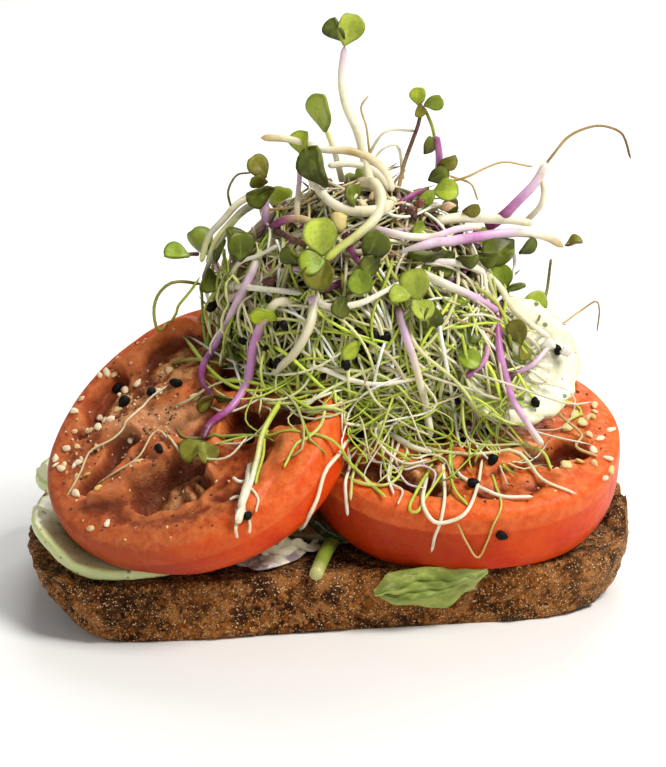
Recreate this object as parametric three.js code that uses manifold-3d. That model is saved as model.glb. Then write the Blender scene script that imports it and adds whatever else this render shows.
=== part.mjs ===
// Open sandwich: a slice of wholemeal bread carrying cucumber slices, two tomato halves
// laid cut side up, a basil leaf and a tall heap of radish, onion and alfalfa sprouts.
// Millimetres, +Z up, +X along the slice. The origin is the centre of the flat underside.
import * as THREE from "three";
import { mergeVertices } from "three/addons/utils/BufferGeometryUtils.js";
import Module from "manifold-3d";

const wasm = await Module();
wasm.setup();

// ---- driving dimensions, mm ----
const BREAD_THICKNESS = 14;
const GAP = 0.35; // left between pieces that touch
const BREAD_TOP = BREAD_THICKNESS + GAP;
const SLICE_THICKNESS = 3; // cucumber
const STEM = 1.15; // radius of a radish sprout stem
const THREAD = 0.62; // radius of an alfalfa sprout

// Plan outlines of the bread: the upper cut face and the smaller underside.
const TOP_OUTLINE = [
  [-70, -32], [-64, -42], [-45, -44], [-15, -43.5], [20, -44], [44, -44], [57, -39],
  [63.5, -29], [65.5, -4], [59, 20], [38, 37], [0, 42], [-38, 37], [-63, 20], [-71, -6],
];
const BASE_OUTLINE = [
  [-61, -34], [-57, -42], [-42, -45], [-15, -45], [20, -45], [44, -44], [54, -38],
  [59, -28], [58, -4], [52, 16], [34, 32], [0, 37], [-34, 32], [-54, 18], [-62, -5],
];

// Pockets: angle and half width in rad, inner and outer share of the radius, depth in mm.
// Seeds: angle and share of the radius. Flakes are strewn near the rim between two angles.
const LEFT_TOMATO = {
  centre: [-35, -23.7, 42.7], normal: [-0.346, -0.413, 0.842],
  radius: 34.3, depth: 15.8, oval: 0.042, ovalAngle: 0.82, lobe: 0.02, lobeAngle: 1.26,
  skew: [3.4, -2.3], fullness: 3.5,
  floor: BREAD_TOP + SLICE_THICKNESS + GAP,
  pockets: [
    [-1.78, 0.36, 0.2, 0.7, 4], [-2.6, 0.28, 0.42, 0.78, 2.4], [-0.66, 0.4, 0.38, 0.8, 5.5],
    [2.6, 0.4, 0.34, 0.74, 2.2], [1.5, 0.4, 0.3, 0.7, 2.6], [0.42, 0.3, 0.3, 0.75, 4],
  ],
  seeds: [[1.64, 0.39], [2.08, 0.43], [2.36, 0.6], [-2.37, 0.31], [2.2, 0.82]],
  flakes: { from: 2.3, to: 3.9, count: 8 },
  seed: 7,
};
const RIGHT_TOMATO = {
  centre: [25.9, -26, 38.9], normal: [-0.015, -0.365, 0.931],
  radius: 31.6, depth: 22.5, oval: 0.115, ovalAngle: -0.07, lobe: 0, lobeAngle: 0,
  skew: [-0.1, -4], fullness: 3.5,
  floor: BREAD_TOP,
  pockets: [
    [-0.35, 0.36, 0.4, 0.82, 6.5], [-1.95, 0.4, 0.32, 0.7, 4.5], [-2.97, 0.42, 0.34, 0.78, 5],
    [0.6, 0.34, 0.34, 0.76, 4], [1.75, 0.4, 0.34, 0.76, 5],
  ],
  seeds: [[-0.62, 0.42], [-1.35, 0.62]],
  flakes: { from: -0.45, to: 0.6, count: 7 },
  seed: 11,
};

const CUCUMBERS = {
  cucumber_left_front: { centre: [-49, -21.7, BREAD_TOP], normal: [0, 0, 1], radius: 21.8 },
  cucumber_left_back: { centre: [-48.3, 1.5, 16.7], normal: [0, 0.09, 0.996], radius: 20.8 },
  cucumber_middle: { centre: [-5, -10, BREAD_TOP], normal: [0, 0, 1], radius: 20.5 },
  cucumber_upright: { centre: [37.5, -22.3, 53], normal: [0.12, -0.84, 0.53], radius: 15 },
};

// ---- numbers and directions ----
const TAU = 2 * Math.PI;
const V = (x, y, z) => new THREE.Vector3(x, y, z);
const mix = (a, b, t) => a + (b - a) * t;
const smooth = (lo, hi, t) => {
  const u = Math.min(1, Math.max(0, (t - lo) / (hi - lo)));
  return u * u * (3 - 2 * u);
};

// Repeatable random numbers in 0..1.
function randomFrom(seed) {
  let state = seed;
  return () => {
    state = (state * 1664525 + 1013904223) % 4294967296;
    return state / 4294967296;
  };
}

// A smooth uneven field of about -1..1, waves of the given length in mm.
function lumps(p, wave, phase = 0) {
  const k = TAU / wave;
  const a = Math.sin(k * (p.x + 0.4 * p.y) + phase) * Math.cos(k * (0.8 * p.y - 0.3 * p.z) + 2 * phase);
  const b = Math.sin(k * (1.7 * p.y + 0.6 * p.x) + 3 * phase) * Math.cos(k * (1.3 * p.z + 0.9 * p.x));
  return 0.6 * a + 0.4 * b;
}

// ---- closed meshes ----
function geometryFrom(points, index) {
  const geometry = new THREE.BufferGeometry();
  const position = points.flatMap((p) => [p.x, p.y, p.z]);
  geometry.setAttribute("position", new THREE.Float32BufferAttribute(position, 3));
  geometry.setIndex(index);
  return geometry;
}

// Skins rings of equal count, turning left about the way from the low end to the high end.
function loft(rings, low, high) {
  const count = rings[0].length;
  const index = [];
  const at = (ring, i) => 1 + ring * count + (i % count);
  const last = 1 + rings.length * count;
  for (let i = 0; i < count; i += 1) {
    index.push(0, at(0, i + 1), at(0, i));
    index.push(last, at(rings.length - 1, i), at(rings.length - 1, i + 1));
  }
  for (let r = 0; r + 1 < rings.length; r += 1) {
    for (let i = 0; i < count; i += 1) {
      index.push(at(r, i), at(r, i + 1), at(r + 1, i + 1), at(r, i), at(r + 1, i + 1), at(r + 1, i));
    }
  }
  return geometryFrom([low, ...rings.flat(), high], index);
}

// A round stalk through the given points, narrowing from one radius to the other.
function stalk(points, startRadius, endRadius, sides, segments) {
  const curve = new THREE.CatmullRomCurve3(points.map((p) => V(...p)), false, "centripetal");
  const frames = curve.computeFrenetFrames(segments, false);
  const rings = [];
  for (let s = 0; s <= segments; s += 1) {
    const centre = curve.getPointAt(s / segments);
    const radius = mix(startRadius, endRadius, s / segments);
    rings.push(
      Array.from({ length: sides }, (_, i) => {
        const angle = (i / sides) * TAU;
        return centre
          .clone()
          .addScaledVector(frames.normals[s], radius * Math.cos(angle))
          .addScaledVector(frames.binormals[s], radius * Math.sin(angle));
      }),
    );
  }
  const tip = (s, way) => curve.getPointAt(s / segments).addScaledVector(frames.tangents[s], way);
  return loft(rings, tip(0, -0.4 * startRadius), tip(segments, 0.4 * endRadius));
}

// A thin leaf with both faces alike: half widths at stations from the base to the tip.
function leaf({ base, along, up, length, width, cup = 0.15, thickness = 0.7 }) {
  const a = V(...along).normalize();
  const n = V(...up).addScaledVector(a, -a.dot(V(...up))).normalize();
  const w = n.clone().cross(a);
  const stations = [[0, 0.18], [0.55, 0.5], [0.97, 0.28]];
  const rim = [...stations.map(([s, h]) => [s, -h]), ...stations.reverse().map(([s, h]) => [s, h])];
  const at = (s, h, side) =>
    V(...base)
      .addScaledVector(a, s * length)
      .addScaledVector(w, h * width)
      .addScaledVector(n, cup * length * (4 * h * h - 0.8 * s * s) + (side * thickness) / 2);
  const count = rim.length;
  const points = [
    ...rim.map(([s, h]) => at(s, h, 1)), ...rim.map(([s, h]) => at(s, h, -1)), at(0.5, 0, 1), at(0.5, 0, -1),
  ];
  const index = [];
  for (let i = 0; i < count; i += 1) {
    const j = (i + 1) % count;
    index.push(2 * count, i, j, 2 * count + 1, count + j, count + i);
    index.push(j, i, count + j, i, count + i, count + j);
  }
  return geometryFrom(points, index);
}

// A seed or flake: a faceted bead stretched along its own axes and set on a surface.
function bead(centre, normal, [length, width, height], turn = 0) {
  const geometry = new THREE.IcosahedronGeometry(0.55, 0);
  const way = new THREE.Quaternion().setFromUnitVectors(V(0, 1, 0), V(...normal).normalize());
  way.multiply(new THREE.Quaternion().setFromAxisAngle(V(0, 1, 0), turn));
  return geometry.applyMatrix4(new THREE.Matrix4().compose(V(...centre), way, V(length, height, width)));
}

function solidOf(geometry) {
  const bare = geometry.clone();
  bare.deleteAttribute("normal");
  bare.deleteAttribute("uv");
  const merged = mergeVertices(bare, 1e-4);
  const solid = new wasm.Manifold(
    new wasm.Mesh({
      numProp: 3,
      vertProperties: new Float32Array(merged.attributes.position.array),
      triVerts: new Uint32Array(merged.index.array),
    }),
  );
  return solid;
}

// The largest body of a solid: loose scraps and sealed hollows are left out.
function mainBody(solid) {
  return solid.decompose().reduce((best, body) => (body.volume() > best.volume() ? body : best));
}

function geometryOf(solid) {
  const { numProp, vertProperties, triVerts } = solid.getMesh();
  const points = [];
  for (let i = 0; i < vertProperties.length; i += numProp) {
    points.push(V(vertProperties[i], vertProperties[i + 1], vertProperties[i + 2]));
  }
  return geometryFrom(points, Array.from(triVerts));
}

// Turns local +Z to the normal and moves the origin to the centre.
function placement({ centre, normal }) {
  const turn = new THREE.Quaternion().setFromUnitVectors(V(0, 0, 1), V(...normal).normalize());
  return new THREE.Matrix4().compose(V(...centre), turn, V(1, 1, 1));
}

// ---- bread ----
const BREAD_SIDES = 56;

function outlinePoints(outline, count) {
  const curve = new THREE.CatmullRomCurve3(outline.map(([x, y]) => V(x, y, 0)), true, "centripetal");
  return Array.from({ length: count }, (_, i) => curve.getPointAt(i / count));
}

// The crust of the right-hand end lifts in a creased lip.
function crustLip(x, y) {
  const along = smooth(-34, -22, y) * (1 - smooth(8, 22, y));
  const creases = 0.62 + 0.38 * Math.sin(0.75 * y + 0.5 * x);
  return 3.2 * smooth(56, 64, x) * along * creases;
}

function breadSlice(grow = 0) {
  const top = outlinePoints(TOP_OUTLINE, BREAD_SIDES);
  const base = outlinePoints(BASE_OUTLINE, BREAD_SIDES);
  // height share, and how far the wall is drawn in from the straight taper, mm
  const wall = [[0, 1.6], [0.1, 0.2], [0.35, -0.5], [0.65, -0.7], [0.92, 0], [1, 0.7]];
  const rings = wall.map(([share, draw]) =>
    top.map((upper, i) => {
      const p = base[i].clone().lerp(upper, Math.pow(share, 0.8));
      const rough = share > 0.05 ? 0.45 * lumps(V(p.x, p.y, 30 * share), 13) : 0;
      p.setLength(p.length() - draw + rough + grow);
      p.z = share * BREAD_THICKNESS;
      return p;
    }),
  );
  const rim = rings[rings.length - 1];
  for (const scale of [0.93, 0.76, 0.4]) {
    rings.push(
      rim.map((q) => {
        const p = V(q.x * scale, q.y * scale, 0);
        p.z = BREAD_THICKNESS - 0.35 - 0.3 * lumps(p, 17, 1) + crustLip(q.x * scale, q.y) + grow;
        return p;
      }),
    );
  }
  for (const p of rim) {
    p.z = BREAD_THICKNESS - 0.3 + crustLip(p.x, p.y) + grow;
  }
  return solidOf(loft(rings, V(0, 0, -grow), V(0, 0, BREAD_THICKNESS - 0.4 + grow)));
}

// ---- tomato halves ----
const TOMATO_SIDES = 38;

function planShape(tomato, angle) {
  const oval = tomato.oval * Math.cos(2 * (angle - tomato.ovalAngle));
  return 1 + oval + tomato.lobe * Math.cos(3 * (angle - tomato.lobeAngle));
}

// Height of the cut face over its plane at a share of the radius and an angle.
function cutFaceRelief(tomato, share, angle) {
  let height = 0.5 * smooth(0.72, 0.88, share) - 0.8 * smooth(0.92, 1, share);
  height -= 0.5 * (1 - smooth(0.1, 0.3, share));
  for (const [middle, half, inner, outer, depth] of tomato.pockets) {
    const away = Math.abs(Math.atan2(Math.sin(angle - middle), Math.cos(angle - middle)));
    const across = 1 - smooth(half * 0.6, half * 1.15, away);
    const along = smooth(inner - 0.08, inner + 0.1, share) * (1 - smooth(outer - 0.1, outer + 0.05, share));
    height -= depth * across * along;
  }
  return height;
}

// Share of the full radius that the skin has at a share of the depth: widest just under the cut.
function skinShare(tomato, depthShare) {
  const widest = 0.2;
  if (depthShare < widest) {
    const t = 1 - depthShare / widest;
    return 1 - 0.035 * t * t;
  }
  const t = (depthShare - widest) / (1 - widest);
  return Math.pow(1 - Math.pow(t, tomato.fullness), 1 / tomato.fullness);
}

// A point of the body in its own axes; depthShare runs from the cut face down to the bottom.
function bodyPoint(tomato, angle, share, depthShare, height, grow = 0) {
  const r = tomato.radius * planShape(tomato, angle) * share + grow;
  const lean = depthShare * depthShare;
  return V(r * Math.cos(angle) + tomato.skew[0] * lean, r * Math.sin(angle) + tomato.skew[1] * lean, height);
}

function tomatoHalf(tomato, grow = 0, sides = TOMATO_SIDES) {
  const ring = (share, depthShare, heightAt) =>
    Array.from({ length: sides }, (_, i) => {
      const angle = (i / sides) * TAU;
      return bodyPoint(tomato, angle, share, depthShare, heightAt(angle), grow);
    });
  const depth = tomato.depth + grow;
  const rings = [0.97, 0.86, 0.68, 0.46, 0.24, 0.09].map((t) =>
    ring(skinShare(tomato, t), t, () => -t * depth),
  );
  const lip = skinShare(tomato, 0);
  if (grow > 0) {
    rings.push(ring(lip, 0, () => GAP + 0.5));
  } else {
    rings.push(ring(lip, 0, () => -0.55));
    for (const share of [0.96, 0.88, 0.78, 0.66, 0.52, 0.38, 0.24]) {
      rings.push(ring(share * lip, 0, (angle) => cutFaceRelief(tomato, share, angle)));
    }
  }
  const [leanX, leanY] = tomato.skew;
  const middle = grow > 0 ? GAP + 0.5 : -0.5;
  const body = loft(rings, V(leanX, leanY, -depth), V(0, 0, middle));
  return solidOf(body.applyMatrix4(placement(tomato))).trimByPlane([0, 0, 1], tomato.floor - grow);
}

// Where the cut face lies, and its own axes, for setting small things on it.
function facePoint(tomato, angle, share, over) {
  const height = cutFaceRelief(tomato, share, angle) + over;
  return bodyPoint(tomato, angle, share, 0, height).applyMatrix4(placement(tomato));
}

// Seeds as [angle, share of the radius]; flakes are strewn between two angles near the rim.
function toppings(tomato, grow = 0) {
  const random = randomFrom(tomato.seed);
  const parts = [];
  for (const [angle, share] of tomato.seeds) {
    const p = facePoint(tomato, angle, share, 0.35);
    const size = [2.9, 2.2, 1.7].map((side) => side + 2 * grow);
    parts.push(solidOf(bead(p.toArray(), tomato.normal, size, 6 * random())));
  }
  const { from, to, count } = tomato.flakes;
  for (let i = 0; i < count; i += 1) {
    const angle = mix(from, to, (i + 0.2 + 0.6 * random()) / count);
    const p = facePoint(tomato, angle, mix(0.72, 0.93, random()), 0.15);
    const size = [2.7, 1.9, 1.1].map((side) => side + 2 * grow);
    parts.push(solidOf(bead(p.toArray(), tomato.normal, size, 6 * random())));
  }
  return parts;
}

const dressedTomato = (tomato) => mainBody(wasm.Manifold.union([tomatoHalf(tomato), ...toppings(tomato)]));

// Moves a point out of the way of a tomato half: over its face or off its skin.
function clearOfTomato(tomato, p, margin) {
  const place = placement(tomato);
  const q = p.clone().applyMatrix4(place.clone().invert());
  const angle = Math.atan2(q.y, q.x);
  const radius = tomato.radius * planShape(tomato, angle) + margin;
  const away = Math.hypot(q.x, q.y);
  if (q.z < margin + 0.6 && away < radius) {
    if (q.z > -4 || away < radius - 6) {
      q.z = margin + 0.6;
    } else {
      q.x *= radius / away;
      q.y *= radius / away;
    }
  }
  return q.applyMatrix4(place);
}

// ---- cucumber slices ----
function cucumberSlice(slice, grow = 0) {
  const sides = 26;
  const ring = (share, height) =>
    Array.from({ length: sides }, (_, i) => {
      const angle = (i / sides) * TAU;
      const r = slice.radius * (1 + 0.012 * Math.sin(3 * angle + slice.radius)) * share + grow;
      return V(r * Math.cos(angle), r * Math.sin(angle), height + 0.12 * Math.sin(4 * angle) * share);
    });
  const low = 0.15 - grow;
  const high = SLICE_THICKNESS + grow;
  const edge = [ring(0.975, low), ring(1, 0.9), ring(1, high - 0.8), ring(0.975, high)];
  const rings = [...edge, ring(0.7, high - 0.25)];
  return solidOf(loft(rings, V(0, 0, low), V(0, 0, high - 0.15)).applyMatrix4(placement(slice)));
}

// ---- basil leaf, green stem, strip of peel and cream ----
const CREAM = { x: -18.5, y: -35.2, length: 17, width: 8, turn: 0.42 };

// A thin bent sheet with both faces alike, from a rule for its middle surface.
function sheet(surface, stepsU, stepsV, thickness) {
  const points = [];
  for (const side of [1, -1]) {
    for (let i = 0; i <= stepsU; i += 1) {
      for (let j = 0; j <= stepsV; j += 1) {
        const u = i / stepsU;
        const v = j / stepsV;
        const p = surface(u, v);
        const du = surface(u + 0.01, v).sub(surface(u - 0.01, v));
        const dv = surface(u, v + 0.01).sub(surface(u, v - 0.01));
        points.push(p.addScaledVector(du.cross(dv).normalize(), (side * thickness) / 2));
      }
    }
  }
  const row = stepsV + 1;
  const half = row * (stepsU + 1);
  const index = [];
  const quad = (a, b, c, d) => index.push(a, b, c, a, c, d);
  for (let i = 0; i < stepsU; i += 1) {
    for (let j = 0; j < stepsV; j += 1) {
      const a = i * row + j;
      quad(a, a + row, a + row + 1, a + 1);
      quad(half + a, half + a + 1, half + a + row + 1, half + a + row);
    }
    const near = i * row;
    const far = i * row + stepsV;
    quad(near, half + near, half + near + row, near + row);
    quad(far, far + row, half + far + row, half + far);
  }
  for (let j = 0; j < stepsV; j += 1) {
    const end = stepsU * row + j;
    quad(j, j + 1, half + j + 1, half + j);
    quad(end, half + end, half + end + 1, end + 1);
  }
  return geometryFrom(points, index);
}

// Height along a broken line of [share, height] corners.
function alongLine(corners, share) {
  const t = Math.min(0.999, share);
  const i = Math.min(corners.length - 2, Math.max(0, corners.findIndex(([share]) => share > t) - 1));
  const [[a, low], [b, high]] = [corners[i], corners[i + 1]];
  return mix(low, high, smooth(a, b, t));
}

// The leaf is tucked under the right tomato and hangs down over the front crust.
function basilLeaf() {
  const lower = [[0, 9.6], [0.2, 6.7], [0.62, 5.4], [0.85, 9], [1, 13.2]];
  const upper = [[0, 10.6], [0.14, 14.3], [0.4, 15.4], [1, 14.8]];
  const surface = (u, v) => {
    const t = Math.min(1, Math.max(0, u));
    const z = mix(alongLine(lower, t), alongLine(upper, t), v);
    const rib = 0.7 * Math.abs(v - 0.45) + 0.3 * Math.sin(9 * u + 5 * v);
    return V(mix(2.4, 27.5, u), -46.6 - 0.8 * Math.sin(Math.PI * v) + rib, z);
  };
  return solidOf(sheet(surface, 8, 4, 0.8));
}

function peelStrip() {
  const surface = (u, v) => {
    const y = -31.8 - 1.2 * u + 1.4 * Math.cos(3 * v);
    return V(mix(-9.6, -4.4, u) + 0.8 * v, y, mix(21, 17, u) + mix(-1.3, 1.5, v));
  };
  return solidOf(sheet(surface, 5, 3, 0.9));
}

function greenStem(grow = 0) {
  const points = [[-4.4, -31, 16.4], [-7.6, -39.5, 16.2], [-10.4, -47.4, 15.6]];
  return solidOf(stalk(points, 1.5 + grow, 1.6 + grow, 8, 4));
}

function creamSmear() {
  const sides = 16;
  const alongAxis = V(Math.cos(CREAM.turn), Math.sin(CREAM.turn), 0);
  const acrossAxis = V(-alongAxis.y, alongAxis.x, 0);
  const middle = V(CREAM.x, CREAM.y, BREAD_TOP);
  const ring = (share, height) =>
    Array.from({ length: sides }, (_, i) => {
      const angle = (i / sides) * TAU;
      const r = share * (1 + 0.12 * Math.sin(3 * angle + 1) + 0.06 * Math.sin(5 * angle));
      return middle
        .clone()
        .addScaledVector(alongAxis, (CREAM.length / 2) * r * Math.cos(angle))
        .addScaledVector(acrossAxis, (CREAM.width / 2) * r * Math.sin(angle))
        .setZ(BREAD_TOP + height);
    });
  const rings = [ring(0.95, 0.05), ring(1, 0.45), ring(0.72, 0.95)];
  return solidOf(loft(rings, middle, middle.clone().setZ(BREAD_TOP + 1.1)));
}

// ---- sprout heap ----
// Height, centre and half widths of the packed middle of the heap, from the bread to the crown.
const HEAP = [
  [15, 6, 21, 25, 13], [24, 6, 18, 30, 18], [36, 7, 8, 32, 26], [46, 8, 0, 33, 29], [56, 8, -3, 34, 28],
  [66, 7, -5, 33, 24], [76, 4, -5, 28, 19], [85, 3, -5, 19, 13], [92, 3, -5, 9, 7],
];

// Moves a point that lies inside the heap out to its surface and a little over.
function overHeap(p, over) {
  if (p.z >= HEAP.at(-1)[0] || p.z <= HEAP[0][0]) {
    return p;
  }
  const i = HEAP.findIndex((level) => level[0] > p.z) - 1;
  const share = (p.z - HEAP[i][0]) / (HEAP[i + 1][0] - HEAP[i][0]);
  const [, x, y, rx, ry] = HEAP[i].map((value, k) => mix(value, HEAP[i + 1][k], share));
  const scale = Math.hypot((p.x - x) / (rx + over), (p.y - y) / (ry + over));
  return scale < 1 ? V(x + (p.x - x) / scale, y + (p.y - y) / scale, p.z) : p;
}

// A point on the heap's surface moved out by some mm; rise runs 0..1 from the bread to the crown.
function heapPoint(angle, rise, out) {
  const at = Math.min(0.999, Math.max(0, rise)) * (HEAP.length - 1);
  const i = Math.floor(at);
  const [z, x, y, rx, ry] = HEAP[i].map((value, k) => mix(value, HEAP[i + 1][k], at - i));
  return V(x + (rx + out) * Math.cos(angle), y + (ry + out) * Math.sin(angle), z + 0.35 * out * rise);
}

function heapCore() {
  const sides = 22;
  const rings = HEAP.map((_, i) =>
    Array.from({ length: sides }, (_unused, k) => {
      const p = heapPoint((k / sides) * TAU, i / (HEAP.length - 1), 0);
      return heapPoint((k / sides) * TAU, i / (HEAP.length - 1), -1 + 1.6 * lumps(p, 21, 2));
    }),
  );
  return solidOf(loft(rings, V(6, 21, 15), V(3, -3, 94)));
}

// Radish sprouts in full view: control points of the stem from its rooted end to its leaves.
const RADISH = {
  tallest: [[4, -6, 92], [5, -6, 101], [2, -6, 110], [1, -6, 117], [1.5, -6, 122]],
  upperLeft: [[0, -6, 92], [-2, -6, 99], [-2.5, -6, 104]],
  pinkUpperLeft: [[-8, -9, 82], [-9.5, -10, 89], [-8, -7, 95], [-8, -6, 98]],
  crossing: [[-17, -7, 101], [-11, -6, 102], [-3, -7, 99], [7, -8, 95], [13, -8, 88]],
  pairLeft: [[-12, -6, 84], [-14.5, -7, 90], [-15.5, -6.5, 94]],
  strap: [[-7, -7, 97], [-4, -14, 91], [3, -18, 88], [9, -15, 84]],
  broadPale: [[8, -9, 90], [9, -15, 89], [7, -20, 86], [1, -23, 82], [-4.5, -23, 79.5]],
  longPinkLeft: [
    [-10, -7, 89], [-17, -13, 81], [-23, -15, 66], [-29, -14, 54], [-31.5, -17, 49.5], [-29.5, -20, 48.5],
  ],
  longPurpleLeft: [
    [-11, -21, 72], [-17, -21, 65], [-20.5, -21, 54], [-23, -23, 50], [-29, -27, 44.5], [-33, -30, 42],
  ],
  whiteBlade: [[-2, -25, 74], [-7.5, -26, 68], [-10.5, -25, 59], [-14.5, -24, 52.5]],
  whiteMiddle: [[12, -20, 76], [11.5, -27, 68], [14, -28, 58], [17, -29, 47], [18, -31, 42]],
  pinkRight: [[33, -12, 69], [36, -24.5, 60.3], [36.3, -29.8, 51.7], [38.5, -33.5, 45.8], [41.2, -37, 41]],
  brownPink: [[28, -10, 66], [32.2, -24.5, 61], [32.6, -28.4, 55.2], [28, -32, 51.2]],
  whiteArch: [[20, -16, 74], [28, -15, 73], [37, -13, 66], [44, -9, 58], [46.5, -7, 52]],
  bandRight: [[15, -22, 77], [25, -21, 71], [34, -17, 63]],
  longPinkTop: [[10, -16, 77], [20, -15, 80], [30, -12, 80], [40, -9, 80], [52, -8, 76]],
  pinkFront: [[6, -18, 85], [14, -19, 82], [23, -16, 81], [29, -13, 83]],
  creamTop: [[22, -10, 83], [33, -10, 83], [45, -9, 81]],
  purpleDiagonal: [[34, -9, 80], [40, -7, 85.5], [46, -6, 91.5], [50, -6, 98]],
  curlRight: [[38, -8, 78.5], [45.5, -6, 83], [47, -6, 89]],
  purpleTop: [[14, -6, 85], [23.5, -6, 95], [22.5, -6, 102], [21, -6, 106]],
  brownTop: [[13, -7, 86], [15, -7, 92], [15.5, -6, 99], [18, -6, 106]],
  darkStem: [[8, -9, 84], [15, -12, 88], [21, -9, 91]],
  outerLeft: [[-21, -8, 69], [-31, -8, 74.5], [-35, -7, 76]],
  paleBand: [[-24, -8, 62], [-31, -8, 68], [-29, -9, 74], [-24, -9, 82], [-15, -8, 89]],
  rearLeft: [[-10, 6, 58], [-22, 19, 62], [-26, 21, 68]],
  rearRight: [[20, 8, 54], [33, 20, 58], [37, 21, 65]],
  rearMiddle: [[3, 4, 66], [2, 20, 70], [6, 25, 75]],
};

// Seed leaves: where each starts, its way, the way its face looks, and its length.
const SEED_LEAVES = [
  [[1.5, -6, 121], [0.2, -0.1, 1], [0.3, -1, 0.1], 9],
  [[1.5, -6, 121], [-0.4, 0, 0.9], [-0.2, -1, 0.2], 6],
  [[-2.5, -6, 103], [-0.1, 0, 1], [0.2, -1, 0.2], 8.5],
  [[-8, -6, 97], [0.35, 0, 1], [0.2, -1, 0.2], 6.5],
  [[-3, -10, 97], [0.5, -0.2, -1], [-0.1, -1, 0.3], 9.5],
  [[-15.5, -6.5, 93], [-0.5, 0, 0.8], [-0.4, -1, 0.2], 6.5],
  [[-15, -7, 93], [0.8, -0.2, 0.3], [0.2, -1, 0.4], 6],
  [[-4.5, -23, 80], [-0.2, -0.3, 1], [-0.1, -1, 0.3], 8],
  [[-4.5, -23.5, 79], [-0.3, -0.3, -1], [-0.2, -1, 0.3], 8.5],
  [[-29.5, -20, 48.5], [0.4, -1, 0.1], [0, -0.5, 1], 6],
  [[-29.5, -20, 48.5], [1, -0.2, 0.2], [0.2, -0.4, 1], 5.5],
  [[-33, -30, 42], [-1, -0.3, -0.2], [-0.1, -0.7, 1], 6],
  [[-33, -30, 42], [0.2, -1, -0.5], [0, -0.8, 0.7], 6],
  [[17, -6, 105], [-0.9, 0, 0.5], [0, -1, 0.3], 6.5],
  [[21, -6, 105.5], [0.1, 0, 1], [0.2, -1, 0.2], 6],
  [[21, -6, 105], [1, 0, 0.45], [0.1, -0.9, 0.4], 6],
  [[21, -9, 91], [0.1, -0.3, 1], [0, -1, 0.3], 7],
  [[20.5, -10, 91], [1, -0.3, -0.1], [0.1, -1, 0.5], 7.5],
  [[-34.5, -7, 76], [-1, 0, 0.15], [0, -0.8, 0.6], 7.5],
  [[-28, -9, 79], [0, -0.1, -1], [-0.4, -1, 0.1], 6.5],
  [[-29.5, -9, 74], [0.1, -0.2, -1], [-0.3, -1, 0.1], 6.5],
  [[2, -20, 76], [0.5, -0.5, -0.7], [0.1, -1, 0.3], 6.5],
  [[9, -18, 79], [0.7, -0.4, -0.6], [0.2, -1, 0.4], 6.5],
  [[15, -24, 73], [-0.2, -0.3, -1], [0.1, -1, 0.2], 6.5],
  [[16, -26, 68], [0.6, -0.2, -0.7], [0.2, -1, 0.2], 6],
  [[30, -14, 70], [0.5, -0.3, -1], [0.3, -1, 0.2], 7],
  [[40, -11, 57], [0.5, -0.1, -0.9], [0.5, -1, 0.2], 6.5],
  [[40, -12, 58], [-0.1, -0.2, -1], [0.2, -1, 0.1], 6.5],
  [[28, -10, 75], [1, -0.3, -0.2], [0, -0.6, 0.8], 10],
  [[46, -7, 77], [1, 0, -0.25], [0, -0.7, 0.7], 6.5],
  [[52, -8, 76], [0.8, 0, 0.5], [-0.3, -0.6, 0.8], 4.5],
  [[-26, 21, 67.5], [-0.6, 0.3, 0.8], [0.2, 0.9, 0.3], 7],
  [[37, 21, 64.5], [0.7, 0.2, 0.8], [-0.2, 0.9, 0.3], 7],
  [[6, 25, 74.5], [0.2, 0.4, 0.9], [0.1, 0.9, 0.3], 7.5],
];

// Threads in full view that leave the heap or hang over the tomatoes.
const THREADS = [
  [[-21, -6, 69], [-34, -6, 71], [-40, -6, 66], [-41, -6, 60], [-37, -6, 61], [-31, -6, 69]],
  [[50, -6, 97], [53.5, -6, 101.5], [60, -6, 102.5], [65.5, -6, 99.5], [67, -6, 93]],
  [[42, -8, 52], [47.5, -6, 60], [48.5, -7, 74], [43, -8, 80]],
  [[41, -6, 50], [51, -6, 55], [60, -6, 61.5], [61, -6, 54]],
  [[-15, -6, 100], [-17, -6, 103], [-18, -6, 99], [-15, -6, 91]],
  [[4, -6, 100], [5, -6, 107], [7.5, -6, 111.5]],
  [[17, -6, 84], [30, -6, 92], [38, -6, 95.5], [45, -6, 93]],
  [[0, -25, 52], [-10, -35, 50], [-20, -38, 45], [-24, -44, 38.5], [-27, -51, 33]],
  [[10, -27, 48], [-1, -38, 43], [-7, -49, 33], [-15, -45, 22]],
  [[4, -24, 46], [14, -34, 41], [27, -41, 38.5], [43, -46, 36.5]],
  [[20, -26, 46], [27, -34, 41], [28, -46, 37.5], [20, -51, 35.5]],
  [[19, -25, 46], [28, -36, 42], [44, -42, 38], [49, -41, 38.5]],
  [[14, -28, 47], [10, -38, 40], [15, -50, 35.5], [23, -49, 36]],
  [[2, -24, 46], [6, -36, 40.5], [13, -43, 38], [24, -45, 37.5]],
  [[-8, -22, 54], [-19, -25, 51], [-30, -22, 50], [-24, -18, 53.5]],
  [[-12, -21, 56], [-20, -30, 49], [-33, -31, 43.5], [-47, -37, 36]],
  [[18, -26, 46], [31, -36.5, 43], [48, -37, 40], [46, -40, 39]],
  [[-6, -22, 56], [-10, -33, 51.5], [-17, -42, 42], [-18, -50, 34.5]],
];

const BLACK_SEEDS = [
  [-14.5, -24.5, 60.5], [4, -27, 60], [-1, -27.5, 55], [9, -26, 49], [-12, -25, 53], [1, -26.5, 66],
  [-20, -18, 68], [15, -26, 50], [20, -25, 62],
];

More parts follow.
